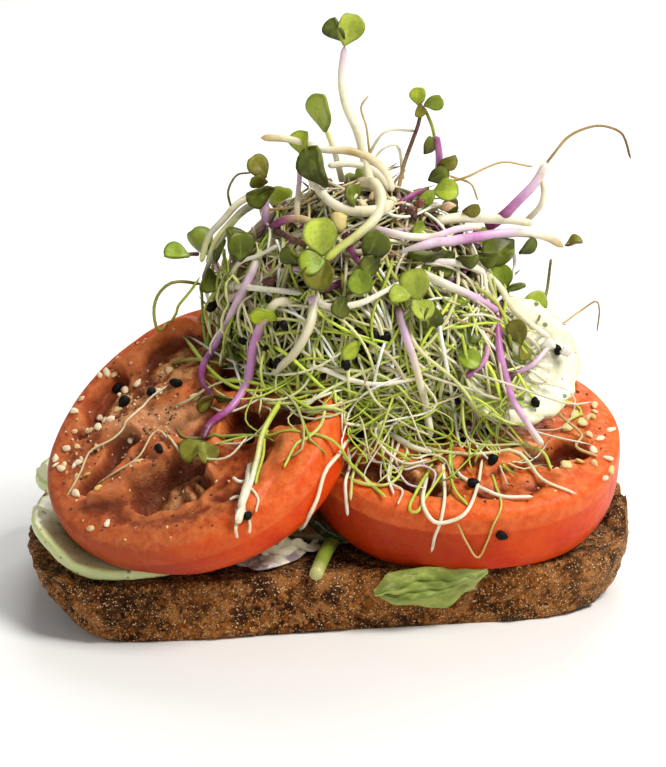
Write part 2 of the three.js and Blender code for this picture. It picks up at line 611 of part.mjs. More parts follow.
function sproutHeap() {
  const random = randomFrom(41);
  const tomatoes = [LEFT_TOMATO, RIGHT_TOMATO];
  const clear = (p, margin, over = margin) =>
    tomatoes.reduce((q, tomato) => clearOfTomato(tomato, q, margin), overHeap(V(...p), over)).toArray();
  // The first point of every stem stays where it is, sunk in the heap.
  const lay = (points, margin, over) => [points[0], ...points.slice(1).map((p) => clear(p, margin, over))];
  const parts = [heapCore()];
  for (const [name, points] of Object.entries(RADISH)) {
    const thick = name === "whiteBlade" || name === "broadPale" ? 1.5 : STEM;
    parts.push(solidOf(stalk(lay(points, thick, 1.1 * thick), thick, 0.85 * thick, 4, points.length)));
  }
  for (const [base, along, up, length] of SEED_LEAVES) {
    const start = clear(base, STEM, -2.6);
    parts.push(solidOf(leaf({ base: start, along, up, length, width: 0.85 * length })));
  }
  for (const points of THREADS) {
    parts.push(solidOf(stalk(lay(points, THREAD + 0.6, THREAD), THREAD, 0.8 * THREAD, 3, 6)));
  }
  for (const centre of BLACK_SEEDS) {
    const start = clear(centre, 0.9, -1.2);
    parts.push(solidOf(bead(start, [random() - 0.5, -1, random()], [2.9, 2.3, 1.9], 6 * random())));
  }
  // Arching threads all round, both ends sunk into the heap.
  const arches = 14;
  for (let i = 0; i < arches; i += 1) {
    const start = (i / arches) * TAU * 5 + random();
    const low = 0.22 + 0.68 * random();
    const turn = mix(0.5, 1.1, random()) * (random() < 0.5 ? -1 : 1);
    const climb = mix(-0.16, 0.16, random());
    const lift = mix(1.8, 4.2, random());
    const points = [0, 0.25, 0.5, 0.75, 1].map((t) => {
      const out = -2.2 + (2.2 + lift) * Math.sin(Math.PI * t);
      const p = heapPoint(start + turn * t, low + climb * t + 0.03 * Math.sin(7 * t + i), out);
      return t === 0 || t === 1 ? p.toArray() : clear(p.toArray(), THREAD + 0.6);
    });
    parts.push(solidOf(stalk(points, THREAD, THREAD, 3, 5)));
  }
  return wasm.Manifold.union(parts);
}

// ---- assembly ----
const sandwich = new THREE.Group();
sandwich.name = "open_sandwich";
function addPiece(name, solid, colour, roughness) {
  const material = new THREE.MeshStandardMaterial({ color: colour, roughness, metalness: 0 });
  const mesh = new THREE.Mesh(geometryOf(mainBody(solid)), material);
  mesh.name = name;
  sandwich.add(mesh);
}

const grownBread = breadSlice(GAP);
// Plainer and a little larger, for clearing the hidden underside of what lies on the tomatoes.
const roomFor = (tomato) => tomatoHalf(tomato, 2.2 * GAP, 24);
const grownTomatoes = wasm.Manifold.union([roomFor(LEFT_TOMATO), roomFor(RIGHT_TOMATO)]);
addPiece("bread_slice", breadSlice(), 0x6b4426, 0.9);
addPiece("cucumber_left_front", cucumberSlice(CUCUMBERS.cucumber_left_front), 0xd5d7a4, 0.4);
let taken = wasm.Manifold.union([grownTomatoes, cucumberSlice(CUCUMBERS.cucumber_left_front, GAP)]);
for (const name of ["cucumber_left_back", "cucumber_middle", "cucumber_upright"]) {
  addPiece(name, cucumberSlice(CUCUMBERS[name]).subtract(taken), 0xd5d7a4, 0.4);
  taken = wasm.Manifold.union([taken, cucumberSlice(CUCUMBERS[name], GAP)]);
}
addPiece("tomato_left", dressedTomato(LEFT_TOMATO), 0xc8401c, 0.35);
// The left half leans on the right one, whose soft skin gives a little.
addPiece("tomato_right", dressedTomato(RIGHT_TOMATO).subtract(tomatoHalf(LEFT_TOMATO, GAP)), 0xc8401c, 0.35);
addPiece("basil_leaf", basilLeaf().subtract(grownTomatoes).subtract(grownBread), 0x5f8a3a, 0.5);
addPiece("green_stem", greenStem(), 0x7fa050, 0.5);
taken = wasm.Manifold.union([taken, greenStem(GAP)]);
addPiece("peel_strip", peelStrip().subtract(taken), 0x24361a, 0.4);
addPiece("cream_smear", creamSmear().subtract(taken), 0xe4dcd4, 0.4);
const grownToppings = wasm.Manifold.union([...toppings(LEFT_TOMATO, GAP), ...toppings(RIGHT_TOMATO, GAP)]);
addPiece("sprout_heap", sproutHeap().subtract(taken).subtract(grownToppings), 0xb9c98a, 0.6);

export default sandwich;
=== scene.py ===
"""Looks of the open sandwich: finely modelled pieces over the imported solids.

Shapes are worked out in millimetres in the frame's axes and turned into metres when a mesh is made.
"""

import math

import bmesh
import bpy
import numpy as np
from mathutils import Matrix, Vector


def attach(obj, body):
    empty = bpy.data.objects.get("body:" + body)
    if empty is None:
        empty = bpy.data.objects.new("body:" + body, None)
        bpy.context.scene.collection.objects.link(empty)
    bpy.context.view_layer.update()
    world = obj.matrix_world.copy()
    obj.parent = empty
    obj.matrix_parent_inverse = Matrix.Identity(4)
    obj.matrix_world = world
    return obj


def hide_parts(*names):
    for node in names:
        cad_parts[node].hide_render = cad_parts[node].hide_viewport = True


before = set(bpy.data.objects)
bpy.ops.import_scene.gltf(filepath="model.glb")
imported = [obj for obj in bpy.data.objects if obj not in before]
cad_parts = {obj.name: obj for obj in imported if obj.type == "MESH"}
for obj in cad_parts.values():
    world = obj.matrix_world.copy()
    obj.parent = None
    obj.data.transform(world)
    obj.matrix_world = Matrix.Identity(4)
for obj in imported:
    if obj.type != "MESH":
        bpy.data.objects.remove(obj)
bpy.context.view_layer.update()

MM = 0.001
TAU = 2 * math.pi

# ---- the view, in mm and points of the picture ----
AZIMUTH = math.radians(8)
ELEVATION = math.radians(20)
TARGET = np.array([0.0, 0.0, 42.0])
DISTANCE = 650
FOCAL_PIXELS = 2830
IMAGE_SIZE = (666, 767)
AHEAD = np.array([
    math.sin(AZIMUTH) * math.cos(ELEVATION),
    math.cos(AZIMUTH) * math.cos(ELEVATION),
    -math.sin(ELEVATION),
])
ACROSS = np.array([math.cos(AZIMUTH), -math.sin(AZIMUTH), 0.0])
UPWARD = np.cross(ACROSS, AHEAD)
EYE = TARGET - DISTANCE * AHEAD

# ---- sizes shared with the solids, mm ----
BREAD_THICKNESS = 14
BREAD_TOP = BREAD_THICKNESS + 0.35
SLICE_THICKNESS = 3

# The bread seen from above, at its top and at its foot.
TOP_OUTLINE = [
    (-70, -32), (-64, -42), (-45, -44), (-15, -43.5), (20, -44), (44, -44), (57, -39),
    (63.5, -29), (65.5, -4), (59, 20), (38, 37), (0, 42), (-38, 37), (-63, 20), (-71, -6),
]
BASE_OUTLINE = [
    (-61, -34), (-57, -42), (-42, -45), (-15, -45), (20, -45), (44, -44), (54, -38),
    (59, -28), (58, -4), (52, 16), (34, 32), (0, 37), (-34, 32), (-54, 18), (-62, -5),
]

# The tomato halves: centre and normal of the cut face, radius with its departures from a circle, depth,
# sideways shift of the underside and the height that the underside rests on. Strips of relief, pulp and
# wedge run from point to point in the face's axes; a strip of relief has its half width at both ends,
# its height and the share of it that is soft edge.
LEFT_TOMATO = {
    "centre": (-35, -23.7, 42.7), "normal": (-0.346, -0.413, 0.842),
    "radius": 34.3, "depth": 15.8, "oval": 0.042, "oval_angle": 0.82,
    "lobe": 0.02, "lobe_angle": 1.26, "skew": (3.4, -2.3), "fullness": 3.5,
    "floor": BREAD_TOP + SLICE_THICKNESS + 0.35,
    "relief": [
        ((-14.5, -15.5), (-3.5, -15), 4.6, 6.0, -4.4, 0.45),
        ((-24, -13), (-3, -6), 2.2, 2.6, 3.6, 0.8),
        ((-25, -5), (-15, 2), 2.0, 2.6, -4.2, 0.9),
        ((-24, 9), (-14, 22), 1.4, 1.6, -1.8, 0.9),
        ((-14, 2), (-6, -1), 2.2, 2.4, 1.0, 1.0),
        ((-12, 24), (6, 29), 2.2, 2.6, 1.8, 1.0),
        ((-16, 6), (2, 12), 3.6, 4.0, 0.5, 1.2),
        ((-10, 17), (7, 22.5), 3.8, 4.4, -1.3, 0.9),
        ((12, -4.5), (25, -6), 4.2, 4.8, -6.5, 0.5),
        ((4, -22), (14, -14.5), 4.0, 4.6, -1.6, 0.9),
        ((9, -28.5), (21, -15), 2.4, 3.0, 1.4, 1.0),
        ((5, -8), (11, 2), 2.6, 3.0, 1.2, 1.0),
        ((-22, 10), (-10, 6), 2.6, 3.0, 1.1, 1.0),
        ((14, 10), (24, 14), 4.0, 4.0, -3.6, 0.6),
        ((-20, 13), (-15, 20), 2.6, 2.6, -2.2, 0.8),
    ],
    "pulp": [((-12, -16), (-2, -14), 5.0), ((-12, 13.5), (9, 19), 5.5), ((14, -4), (24, -5), 4.0)],
    "fan": (-3, -11, 13), "wedge": ((-14, 6), (0, 3), 4),
}
RIGHT_TOMATO = {
    "centre": (25.9, -26, 38.9), "normal": (-0.015, -0.365, 0.931),
    "radius": 31.6, "depth": 22.5, "oval": 0.115, "oval_angle": -0.07,
    "lobe": 0.0, "lobe_angle": 0.0, "skew": (-0.1, -4), "fullness": 3.5,
    "floor": BREAD_TOP,
    "relief": [
        ((17.5, -10), (22.5, -8), 3.4, 3.2, -4.6, 0.8),
        ((5, -13), (15, -8), 2.2, 2.6, 1.4, 0.9),
        ((-26, -8.5), (-18, -13.5), 4.4, 4.2, -4.6, 0.5),
        ((-16, -16), (-10.5, -16.5), 2.8, 3.0, -3.2, 0.6),
        ((-8, -14.5), (-2.5, -9), 2.0, 2.2, 1.2, 1.0),
        ((3, -20), (10, -22), 2.4, 2.8, -0.9, 1.2),
        ((14, 9), (22, 13), 4.6, 5.0, -4.0, 0.6),
        ((-8, 12), (-3, 16), 4.6, 5.0, -5.0, 0.6),
        ((-24, 4), (-16, 7), 4.4, 4.6, -4.6, 0.6),
    ],
    "pulp": [((-24, -9), (-10, -15), 4.0)],
    "fan": (-6, -6, 9), "wedge": ((6, -1), (13, -8), 3.6),
}
TOMATOES = {"tomato_left": LEFT_TOMATO, "tomato_right": RIGHT_TOMATO}

# The cucumber slices; peel is the share of the edge that still has its peel.
CUCUMBERS = {
    "cucumber_left_front": {
        "centre": (-49, -21.7, BREAD_TOP), "normal": (0, 0, 1), "radius": 21.8, "peel": 0.12,
    },
    "cucumber_left_back": {
        "centre": (-48.3, 1.5, 16.7), "normal": (0, 0.09, 0.996), "radius": 20.8, "peel": 0.15,
    },
    "cucumber_middle": {"centre": (-5, -10, BREAD_TOP), "normal": (0, 0, 1), "radius": 20.5, "peel": 0.9},
    "cucumber_upright": {
        "centre": (37.5, -22.3, 53), "normal": (0.12, -0.84, 0.53), "radius": 15, "peel": 0.05,
    },
}

# Height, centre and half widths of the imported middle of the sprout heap.
HEAP = np.array([
    (15, 6, 21, 25, 13), (24, 6, 18, 30, 18), (36, 7, 8, 32, 26), (46, 8, 0, 33, 29), (56, 8, -3, 34, 28),
    (66, 7, -5, 33, 24), (76, 4, -5, 28, 19), (85, 3, -5, 19, 13), (92, 3, -5, 9, 7),
], float)

# ---- colours, sRGB 0..255 ----
# The dark leaf green is painted shade: leaf green as it looks in shadow.
PALETTE = {
    "white": (250, 244, 222), "cream": (238, 229, 194), "pale": (222, 222, 140), "straw": (206, 176, 116),
    "grey": (196, 192, 170), "lilac": (232, 200, 226), "pink": (214, 142, 204), "purple": (156, 52, 128),
    "wine": (78, 14, 40), "lime": (196, 214, 66), "grass": (148, 176, 36), "leaf": (146, 168, 46),
    "fresh": (196, 208, 84), "shade_green": (70, 74, 14), "olive": (122, 108, 34), "brown": (112, 70, 34),
}


def linear(colour):
    """sRGB 0..255 as linear light 0..1."""
    c = np.asarray(colour, float) / 255
    return np.where(c <= 0.04045, c / 12.92, ((c + 0.055) / 1.055) ** 2.4)


def tone(name):
    """A named colour as linear light."""
    return linear(PALETTE[name])


# ---- numbers ----
def smooth(low, high, t):
    """0 where t is low, 1 where it is high and an easy rise between; low may be the larger one."""
    u = np.clip((np.asarray(t, float) - low) / (high - low), 0, 1)
    return u * u * (3 - 2 * u)


def lattice(i, j, k, seed):
    """A repeatable random number of -1..1 for each whole-number point."""
    h = (i * 0x8DA6B343) ^ (j * 0xD8163841) ^ (k * 0xCB1AB31F) ^ (seed * 0x9E3779B1)
    h &= 0xFFFFFFFF
    h ^= h >> 15
    h = (h * 0x2C1B3C6D) & 0xFFFFFFFF
    h ^= h >> 12
    h = (h * 0x297A2D39) & 0xFFFFFFFF
    h ^= h >> 15
    return h / 0x7FFFFFFF - 1


def noise(points, wave, seed=0):
    """Smooth noise of about -1..1 with bumps about a wave apart."""
    q = np.asarray(points, float) / wave
    cell = np.floor(q).astype(np.int64)
    f = q - cell
    f = f * f * (3 - 2 * f)
    total = 0
    for corner in range(8):
        step = np.array([corner & 1, corner >> 1 & 1, corner >> 2])
        i, j, k = np.moveaxis(cell + step, -1, 0)
        weight = np.where(step, f, 1 - f).prod(axis=-1)
        total = total + weight * lattice(i, j, k, seed)
    return total


def fractal(points, wave, octaves=3, seed=0):
    """Noise of several sizes, each half as wide and half as strong as the one before."""
    return sum(0.5**n * noise(points, wave * 0.5**n, seed + n) for n in range(octaves))


def lumps(p, wave, phase=0):
    """The solids' own slow unevenness."""
    k = TAU / wave
    x, y, z = np.moveaxis(np.asarray(p, float), -1, 0)
    a = np.sin(k * (x + 0.4 * y) + phase) * np.cos(k * (0.8 * y - 0.3 * z) + 2 * phase)
    b = np.sin(k * (1.7 * y + 0.6 * x) + 3 * phase) * np.cos(k * (1.3 * z + 0.9 * x))
    return 0.6 * a + 0.4 * b


def unit(v):
    """Vectors of length 1."""
    v = np.asarray(v, float)
    return v / np.maximum(np.linalg.norm(v, axis=-1, keepdims=True), 1e-9)


def axes(normal):
    """A 3x3 whose columns are the axes that +Z turned straight to the normal gives."""
    turn = Vector((0, 0, 1)).rotation_difference(Vector(unit(normal)))
    return np.array(turn.to_matrix())


def in_axes(item, p):
    """Points of the frame in the axes of a tomato's or cucumber's cut face, from its centre."""
    return (p - np.array(item["centre"], float)) @ axes(item["normal"])


def in_frame(item, q):
    """Points in a cut face's axes as points of the frame."""
    return q @ axes(item["normal"]).T + np.array(item["centre"], float)


def circle(sides):
    """The angles of the corners of a ring."""
    return np.arange(sides) / sides * TAU


def spline(points, count, closed=False):
    """Evenly spaced points on a smooth curve through the given ones."""
    p = np.asarray(points, float)
    p = np.vstack([p[-1:], p, p[:2]]) if closed else np.vstack([2 * p[0] - p[1], p, 2 * p[-1] - p[-2]])
    fine = []
    for a, b, c, d in zip(p, p[1:], p[2:], p[3:]):
        gaps = [max(np.linalg.norm(v) ** 0.5, 1e-3) for v in (b - a, c - b, d - c)]
        k0, k1, k2, k3 = np.cumsum([0, *gaps])
        t = np.linspace(k1, k2, 25)[:-1, None]
        ab = ((k1 - t) * a + (t - k0) * b) / (k1 - k0)
        bc = ((k2 - t) * b + (t - k1) * c) / (k2 - k1)
        cd = ((k3 - t) * c + (t - k2) * d) / (k3 - k2)
        abc = ((k2 - t) * ab + (t - k0) * bc) / (k2 - k0)
        bcd = ((k3 - t) * bc + (t - k1) * cd) / (k3 - k1)
        fine.append(((k2 - t) * abc + (t - k1) * bcd) / (k2 - k1))
    fine.append(p[-2:-1])
    fine = np.vstack(fine)
    length = np.concatenate([[0], np.cumsum(np.linalg.norm(np.diff(fine, axis=0), axis=1))])
    at = np.linspace(0, length[-1], count + 1)[:-1] if closed else np.linspace(0, length[-1], count)
    return np.stack([np.interp(at, length, fine[:, k]) for k in range(fine.shape[1])], axis=1)


# ---- meshes ----
def make_piece(name, points, faces, material, node, values=None, colours=None):
    """A smooth mesh from mm points and arrays of quads or triangles, standing for a solid."""
    mesh = bpy.data.meshes.new(name)
    points = np.asarray(points, float).reshape(-1, 3) * MM
    mesh.vertices.add(len(points))
    mesh.vertices.foreach_set("co", points.ravel())
    corners = np.concatenate([np.asarray(f).ravel() for f in faces]).astype(np.int32)
    sizes = np.concatenate([np.full(len(f), np.shape(f)[1]) for f in faces])
    starts = np.concatenate([[0], np.cumsum(sizes)[:-1]]).astype(np.int32)
    mesh.loops.add(len(corners))
    mesh.polygons.add(len(sizes))
    mesh.polygons.foreach_set("loop_start", starts)
    mesh.polygons.foreach_set("vertices", corners)
    mesh.polygons.foreach_set("use_smooth", np.ones(len(sizes), bool))
    for key, value in (values or {}).items():
        layer = mesh.attributes.new(key, "FLOAT", "POINT")
        layer.data.foreach_set("value", np.asarray(value, np.float32).ravel())
    if colours is not None:
        layer = mesh.attributes.new("tone", "FLOAT_COLOR", "POINT")
        rgba = np.ones((len(points), 4), np.float32)
        rgba[:, :3] = np.asarray(colours).reshape(-1, 3)
        layer.data.foreach_set("color", rgba.ravel())
    mesh.update(calc_edges=True)
    mesh.validate()
    mesh.materials.append(material)
    piece = bpy.data.objects.new(name, mesh)
    bpy.context.scene.collection.objects.link(piece)
    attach(piece, "root")
    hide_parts(node)


def heap_piece(name, points, faces, material, values=None, colours=None):
    """A mesh that stands for a share of the sprout heap."""
    make_piece(name, points, faces, material, "sprout_heap", values, colours)


def ring_faces(rings, count, first=0):
    """Quads between successive rings of equal count."""
    r = np.arange(rings - 1)[:, None] * count + first
    i = np.arange(count)[None, :]
    j = (i + 1) % count
    return np.stack([r + i, r + j, r + count + j, r + count + i], axis=-1).reshape(-1, 4)


def skin_rings(rings, low, high):
    """Points and faces of a closed body from rings listed from the low end to the high end."""
    rings = np.asarray(rings, float)
    number, count = rings.shape[:2]
    points = np.vstack([[low], rings.reshape(-1, 3), [high]])
    i = np.arange(count)
    j = (i + 1) % count
    last = 1 + (number - 1) * count
    bottom = np.stack([np.zeros(count, int), 1 + j, 1 + i], axis=1)
    top = np.stack([np.full(count, len(points) - 1), last + i, last + j], axis=1)
    return points, [ring_faces(number, count, 1), bottom, top]


def with_ends(rows):
    """One value for each point of skin_rings, from one row of values for each ring."""
    return np.concatenate([[rows[0][0]], np.ravel(rows), [rows[-1][0]]])


# ---- materials ----
class Look:
    """A material's node tree, with a short call for each kind of node."""

    def __init__(self, name):
        self.material = bpy.data.materials.new(name)
        self.material.use_nodes = True
        self.tree = self.material.node_tree
        self.tree.nodes.clear()
        self.place = self.new("ShaderNodeTexCoord").outputs["Object"]

    def new(self, kind, inputs=None, **settings):
        """A node with its settings, and a number, colour or link for each input that is named."""
        node = self.tree.nodes.new(kind)
        for key, value in settings.items():
            setattr(node, key, value)
        for key, value in (inputs or {}).items():
            if isinstance(value, bpy.types.NodeSocket):
                self.tree.links.new(value, node.inputs[key])
            else:
                node.inputs[key].default_value = value
        return node

    def value(self, name):
        """The mesh's values of a name."""
        return self.new("ShaderNodeAttribute", attribute_name=name).outputs["Fac"]

    def colour(self):
        """The mesh's own colours."""
        return self.new("ShaderNodeAttribute", attribute_name="tone").outputs["Color"]

    def noise(self, wave, detail=3.0, roughness=0.55):
        inputs = {"Vector": self.place, "Scale": 1 / (wave * MM), "Detail": detail, "Roughness": roughness}
        return self.new("ShaderNodeTexNoise", inputs).outputs["Fac"]

    def cells(self, wave, output="Distance"):
        inputs = {"Vector": self.place, "Scale": 1 / (wave * MM)}
        return self.new("ShaderNodeTexVoronoi", inputs).outputs[output]

    def times(self, a, b):
        return self.new("ShaderNodeMath", {0: a, 1: b}, operation="MULTIPLY").outputs[0]

    def plus(self, a, b):
        return self.new("ShaderNodeMath", {0: a, 1: b}, operation="ADD").outputs[0]

    def span(self, value, low, high, to_low=0.0, to_high=1.0):
        """Eases from to_low where the value is low to to_high where it is high."""
        inputs = {"Value": value, "From Min": low, "From Max": high, "To Min": to_low, "To Max": to_high}
        return self.new("ShaderNodeMapRange", inputs, interpolation_type="SMOOTHSTEP").outputs["Result"]

    def mix(self, factor, *colours):
        """Two colours, each a link or sRGB numbers, mixed by a factor."""
        a, b = [c if isinstance(c, bpy.types.NodeSocket) else (*linear(c), 1) for c in colours]
        return self.new("ShaderNodeMix", {0: factor, 6: a, 7: b}, data_type="RGBA").outputs[2]

    def spread(self, pattern, low, high, a, b):
        """From one colour to another as a pattern goes from low to high."""
        return self.mix(self.span(pattern, low, high), a, b)

    def blotch(self, colour, pattern, low, high, most, tint):
        """A tint over a colour, where a pattern comes up to high."""
        return self.mix(self.span(pattern, low, high, 0.0, most), colour, tint)

    def stain(self, colour, name, most, tint):
        """A tint over a colour, by the mesh's values of that name."""
        return self.mix(self.times(self.value(name), most), colour, tint)

    def bump(self, height, distance, strength, normal=None):
        """A normal raised by a height over a distance in mm."""
        inputs = {"Height": height, "Strength": strength, "Distance": distance * MM}
        if normal is not None:
            inputs["Normal"] = normal
        return self.new("ShaderNodeBump", inputs).outputs["Normal"]

    def finish(self, colour, roughness, normal=None, soft=0.0, radius=(1, 0.5, 0.3), reach=1.0,
               coat=0.0, coat_roughness=0.1, specular=0.5, through=0.0):
        """The material itself; reach is how deep soft light goes in mm, through the share let through."""
        inputs = {
            "Base Color": colour, "Roughness": roughness, "Subsurface Weight": soft,
            "Subsurface Radius": radius, "Subsurface Scale": reach * MM, "Coat Weight": coat,
            "Coat Roughness": coat_roughness, "Specular IOR Level": specular,
        }
        if normal is not None:
            inputs["Normal"] = normal
        surface = self.new("ShaderNodeBsdfPrincipled", inputs).outputs[0]
        if through:
            film = self.new("ShaderNodeBsdfTranslucent", {"Color": colour}).outputs[0]
            surface = self.new("ShaderNodeMixShader", {0: through, 1: surface, 2: film}).outputs[0]
        self.new("ShaderNodeOutputMaterial", {"Surface": surface})
        return self.material


def bread_look():
    """Dark crumb and crust with floury grains and painted glints of light; the mesh gives top and end."""
    look = Look("bread")
    patch = look.noise(15, 3)
    mid = look.noise(2.2, 5, 0.8)
    fine = look.noise(0.7, 3, 0.75)
    grain = look.cells(0.36, "Color")
    crumbs = look.cells(0.85, "Color")
    heart = look.span(look.cells(0.36), 0.6, 0.34)
    end = look.value("end")
    top = look.value("top")
    dark = look.spread(mid, 0.4, 0.6, (36, 13, 0), (142, 78, 22))
    warm = look.spread(patch, 0.46, 0.62, dark, (156, 94, 38))
    # Painted light: the crust of the right-hand end is painted lighter, in patches.
    warm = look.mix(look.times(end, look.span(mid, 0.35, 0.6, 0.3, 0.95)), warm, (186, 132, 84))
    crumb = look.spread(mid, 0.4, 0.6, (44, 20, 6), (158, 104, 56))
    base = look.mix(top, warm, crumb)
    base = look.blotch(base, crumbs, 0.42, 0.24, 0.5, (36, 16, 4))
    base = look.blotch(base, crumbs, 0.62, 0.78, 0.5, (196, 134, 74))
    base = look.blotch(base, look.noise(5, 3), 0.5, 0.62, 0.7, (180, 120, 66))
    base = look.blotch(base, look.noise(7, 3), 0.5, 0.38, 0.75, (42, 18, 4))
    base = look.blotch(base, grain, 0.42, 0.26, 0.5, (20, 8, 2))
    # Painted glints: small grains painted near white as points of light.
    glint = look.times(look.span(grain, 0.68, 0.78), heart)
    bright = look.spread(fine, 0.4, 0.6, (206, 146, 84), (255, 226, 176))
    base = look.mix(glint, base, bright)
    rough = look.span(grain, 0.6, 0.8, 0.7, 0.3)
    normal = look.bump(look.plus(mid, look.times(crumbs, 0.4)), 0.8, 1.0)
    normal = look.bump(look.plus(fine, glint), 0.3, 1.0, normal)
    return look.finish(base, rough, normal, specular=0.1)


def tomato_look():
    """Skin, cut flesh, pulp and pepper, with painted light and shade, by the mesh's values of those names.
    """
    look = Look("tomato")
    flesh = look.value("flesh")
    hollow_shade = look.value("hollow_shade")
    pulp = look.value("pulp")
    big = look.noise(9, 3)
    mid = look.noise(2.4, 4, 0.6)
    fine = look.noise(0.7, 3, 0.6)
    side_shade = look.value("side_shade")
    skin = look.spread(big, 0.3, 0.7, (200, 42, 0), (218, 74, 4))
    skin = look.stain(skin, "shade", 0.65, (132, 28, 6))
    # Painted shade on the left half's side away from the light.
    skin = look.mix(look.times(look.times(side_shade, side_shade), 0.7), skin, (140, 66, 44))
    meat = look.spread(mid, 0.3, 0.72, (184, 76, 30), (224, 128, 72))
    # Dry, browner flesh of the left half, the more of it on its side away from the light as painted shade.
    dry_and_shade = look.spread(mid, 0.35, 0.65, (92, 30, 8), (182, 96, 46))
    meat = look.stain(meat, "dry_and_shade", 0.9, dry_and_shade)
    # Paler flesh on the raised walls, with painted light on ridges that stand above what is around them.
    meat = look.stain(meat, "pale", 0.5, (228, 136, 74))
    meat = look.blotch(meat, big, 0.45, 0.7, 0.4, (176, 66, 30))
    # Painted shade in the hollows, darker the deeper they go.
    meat = look.mix(hollow_shade, meat, (96, 28, 10))
    seedy = look.spread(mid, 0.35, 0.65, (136, 76, 40), (224, 168, 108))
    meat = look.mix(look.times(pulp, 0.75), meat, seedy)
    meat = look.stain(meat, "wedge", 0.5, (228, 178, 124))
    # Painted shade in the creases of the face.
    meat = look.stain(meat, "crease", 0.8, (88, 24, 8))
    edge = look.spread(mid, 0.25, 0.75, (216, 82, 26), (236, 122, 60))
    colour = look.mix(flesh, skin, meat)
    colour = look.stain(colour, "rim", 0.8, edge)
    # Painted shade on the cut face of that side too.
    colour = look.mix(look.times(look.times(side_shade, flesh), 0.35), colour, (146, 84, 58))
    pepper = look.span(look.cells(1.5, "Distance"), 0.16, 0.07)
    some = look.span(look.noise(5, 2), 0.48, 0.6)
    pepper = look.times(look.times(pepper, some), look.value("dirt"))
    colour = look.mix(pepper, colour, (46, 20, 8))
    rough = look.span(flesh, 0, 1, 0.36, 0.4)
    wet = look.bump(look.plus(mid, look.times(pulp, fine)), 0.9, 0.6)
    normal = look.bump(fine, 0.16, 0.5, wet)
    return look.finish(colour, rough, normal, soft=0.25, radius=(1.0, 0.25, 0.05), reach=1.8,
                       coat=0.03, coat_roughness=0.15, specular=0.12)


def cucumber_look():
    """Flesh, seed zone, peel and specks of herb."""
    look = Look("cucumber")
    share = look.value("share")
    peel = look.value("peel")
    seeds = look.value("seeds")
    mid = look.noise(3.2, 4, 0.6)
    fine = look.noise(0.6, 3, 0.6)
    flesh = look.spread(mid, 0.3, 0.7, (216, 220, 158), (242, 241, 208))
    heart = look.spread(mid, 0.35, 0.65, (146, 140, 86), (192, 186, 126))
    colour = look.spread(share, 0.78, 0.62, flesh, heart)
    colour = look.mix(look.times(seeds, 0.6), colour, (222, 214, 166))
    colour = look.blotch(colour, share, 0.9, 0.99, 0.6, (196, 212, 124))
    # Greener, duller flesh on the slices that lie flat.
    colour = look.stain(colour, "lying", 0.6, (186, 190, 128))
    # Painted light: the upright slice's flesh is painted near white.
    colour = look.stain(colour, "fresh", 0.45, (254, 252, 236))
    green = look.spread(fine, 0.3, 0.7, (24, 44, 10), (60, 88, 24))
    colour = look.mix(peel, colour, green)
    grain = look.cells(1.7, "Color")
    speck = look.times(look.span(look.cells(1.7), 0.2, 0.1), look.span(grain, 0.55, 0.6))
    colour = look.mix(look.times(speck, 0.9), colour, (52, 40, 18))
    herb = look.times(look.span(look.cells(4.5), 0.17, 0.1), look.span(fine, 0.3, 0.4))
    colour = look.mix(look.times(herb, 0.85), colour, (70, 104, 34))
    normal = look.bump(mid, 0.5, 0.3)
    normal = look.bump(fine, 0.12, 0.35, normal)
    return look.finish(colour, 0.34, normal, soft=0.3, radius=(0.8, 1.0, 0.3), reach=1.6, coat=0.1)


def leaf_look(name, veins=0.3, reach=0.6):
    """Leaves in the mesh's colours, with paler veins."""
    look = Look(name)
    vein = look.value("vein")
    fine = look.noise(0.9, 3, 0.6)
    patch = look.noise(3.5, 2)
    colour = look.blotch(look.colour(), fine, 0.3, 0.8, 0.3, (70, 96, 10))
    colour = look.blotch(colour, patch, 0.5, 0.75, 0.35, (196, 216, 90))
    colour = look.mix(look.times(vein, veins), colour, (200, 214, 110))
    normal = look.bump(look.plus(look.times(vein, 0.5), fine), 0.2, 0.5)
    return look.finish(colour, 0.4, normal, soft=0.1, radius=(0.5, 1.0, 0.1), reach=reach, through=0.25,
                       specular=0.4)


def stalk_look(name, gloss, through):
    """Stems and threads in the mesh's colours, streaked and a little glassy."""
    look = Look(name)
    streak = look.noise(0.8, 3, 0.6)
    patch = look.noise(4, 2)
    colour = look.blotch(look.colour(), streak, 0.35, 0.8, 0.12, (255, 252, 226))
    colour = look.blotch(colour, patch, 0.5, 0.8, 0.3, (104, 92, 26))
    normal = look.bump(streak, 0.12, 0.4)
    return look.finish(colour, gloss, normal, soft=0.2, radius=(1.0, 0.9, 0.4), reach=0.8, through=through,
                       specular=0.4)


def plain_look(name, colour_a, colour_b, wave, roughness, depth, soft=0.0, coat=0.0, specular=0.3):
    """Two colours in patches a wave wide."""
    look = Look(name)
    patch = look.noise(wave, 3, 0.6)
    colour = look.spread(patch, 0.3, 0.7, colour_a, colour_b)
    normal = look.bump(patch, depth, 0.6)
    return look.finish(colour, roughness, normal, soft=soft, radius=(1, 0.8, 0.5), coat=coat,
                       specular=specular)


def cream_look():
    """Dull purplish cream with brown traces, or clean pale cream where pale is 1."""
    look = Look("cream")
    patch = look.noise(4.5, 3, 0.6)
    fine = look.noise(1.1, 3, 0.6)
    colour = look.spread(patch, 0.42, 0.6, (150, 132, 140), (240, 232, 212))
    colour = look.blotch(colour, fine, 0.5, 0.72, 0.5, (146, 98, 70))
    colour = look.mix(look.value("pale"), colour, (244, 240, 206))
    normal = look.bump(look.plus(patch, fine), 0.5, 0.7)
    return look.finish(colour, 0.28, normal, soft=0.3, radius=(1, 0.8, 0.5), coat=0.3)


# ---- bread ----
def crust_lip(x, y):
    """How far the crust of the right-hand end lifts, in a creased lip."""
    along = smooth(-36, -26, y) * (1 - smooth(6, 20, y))
    creases = 0.7 + 0.3 * np.sin(0.9 * y + 0.6 * x)
    return 5.2 * smooth(56, 64, x) * along * creases


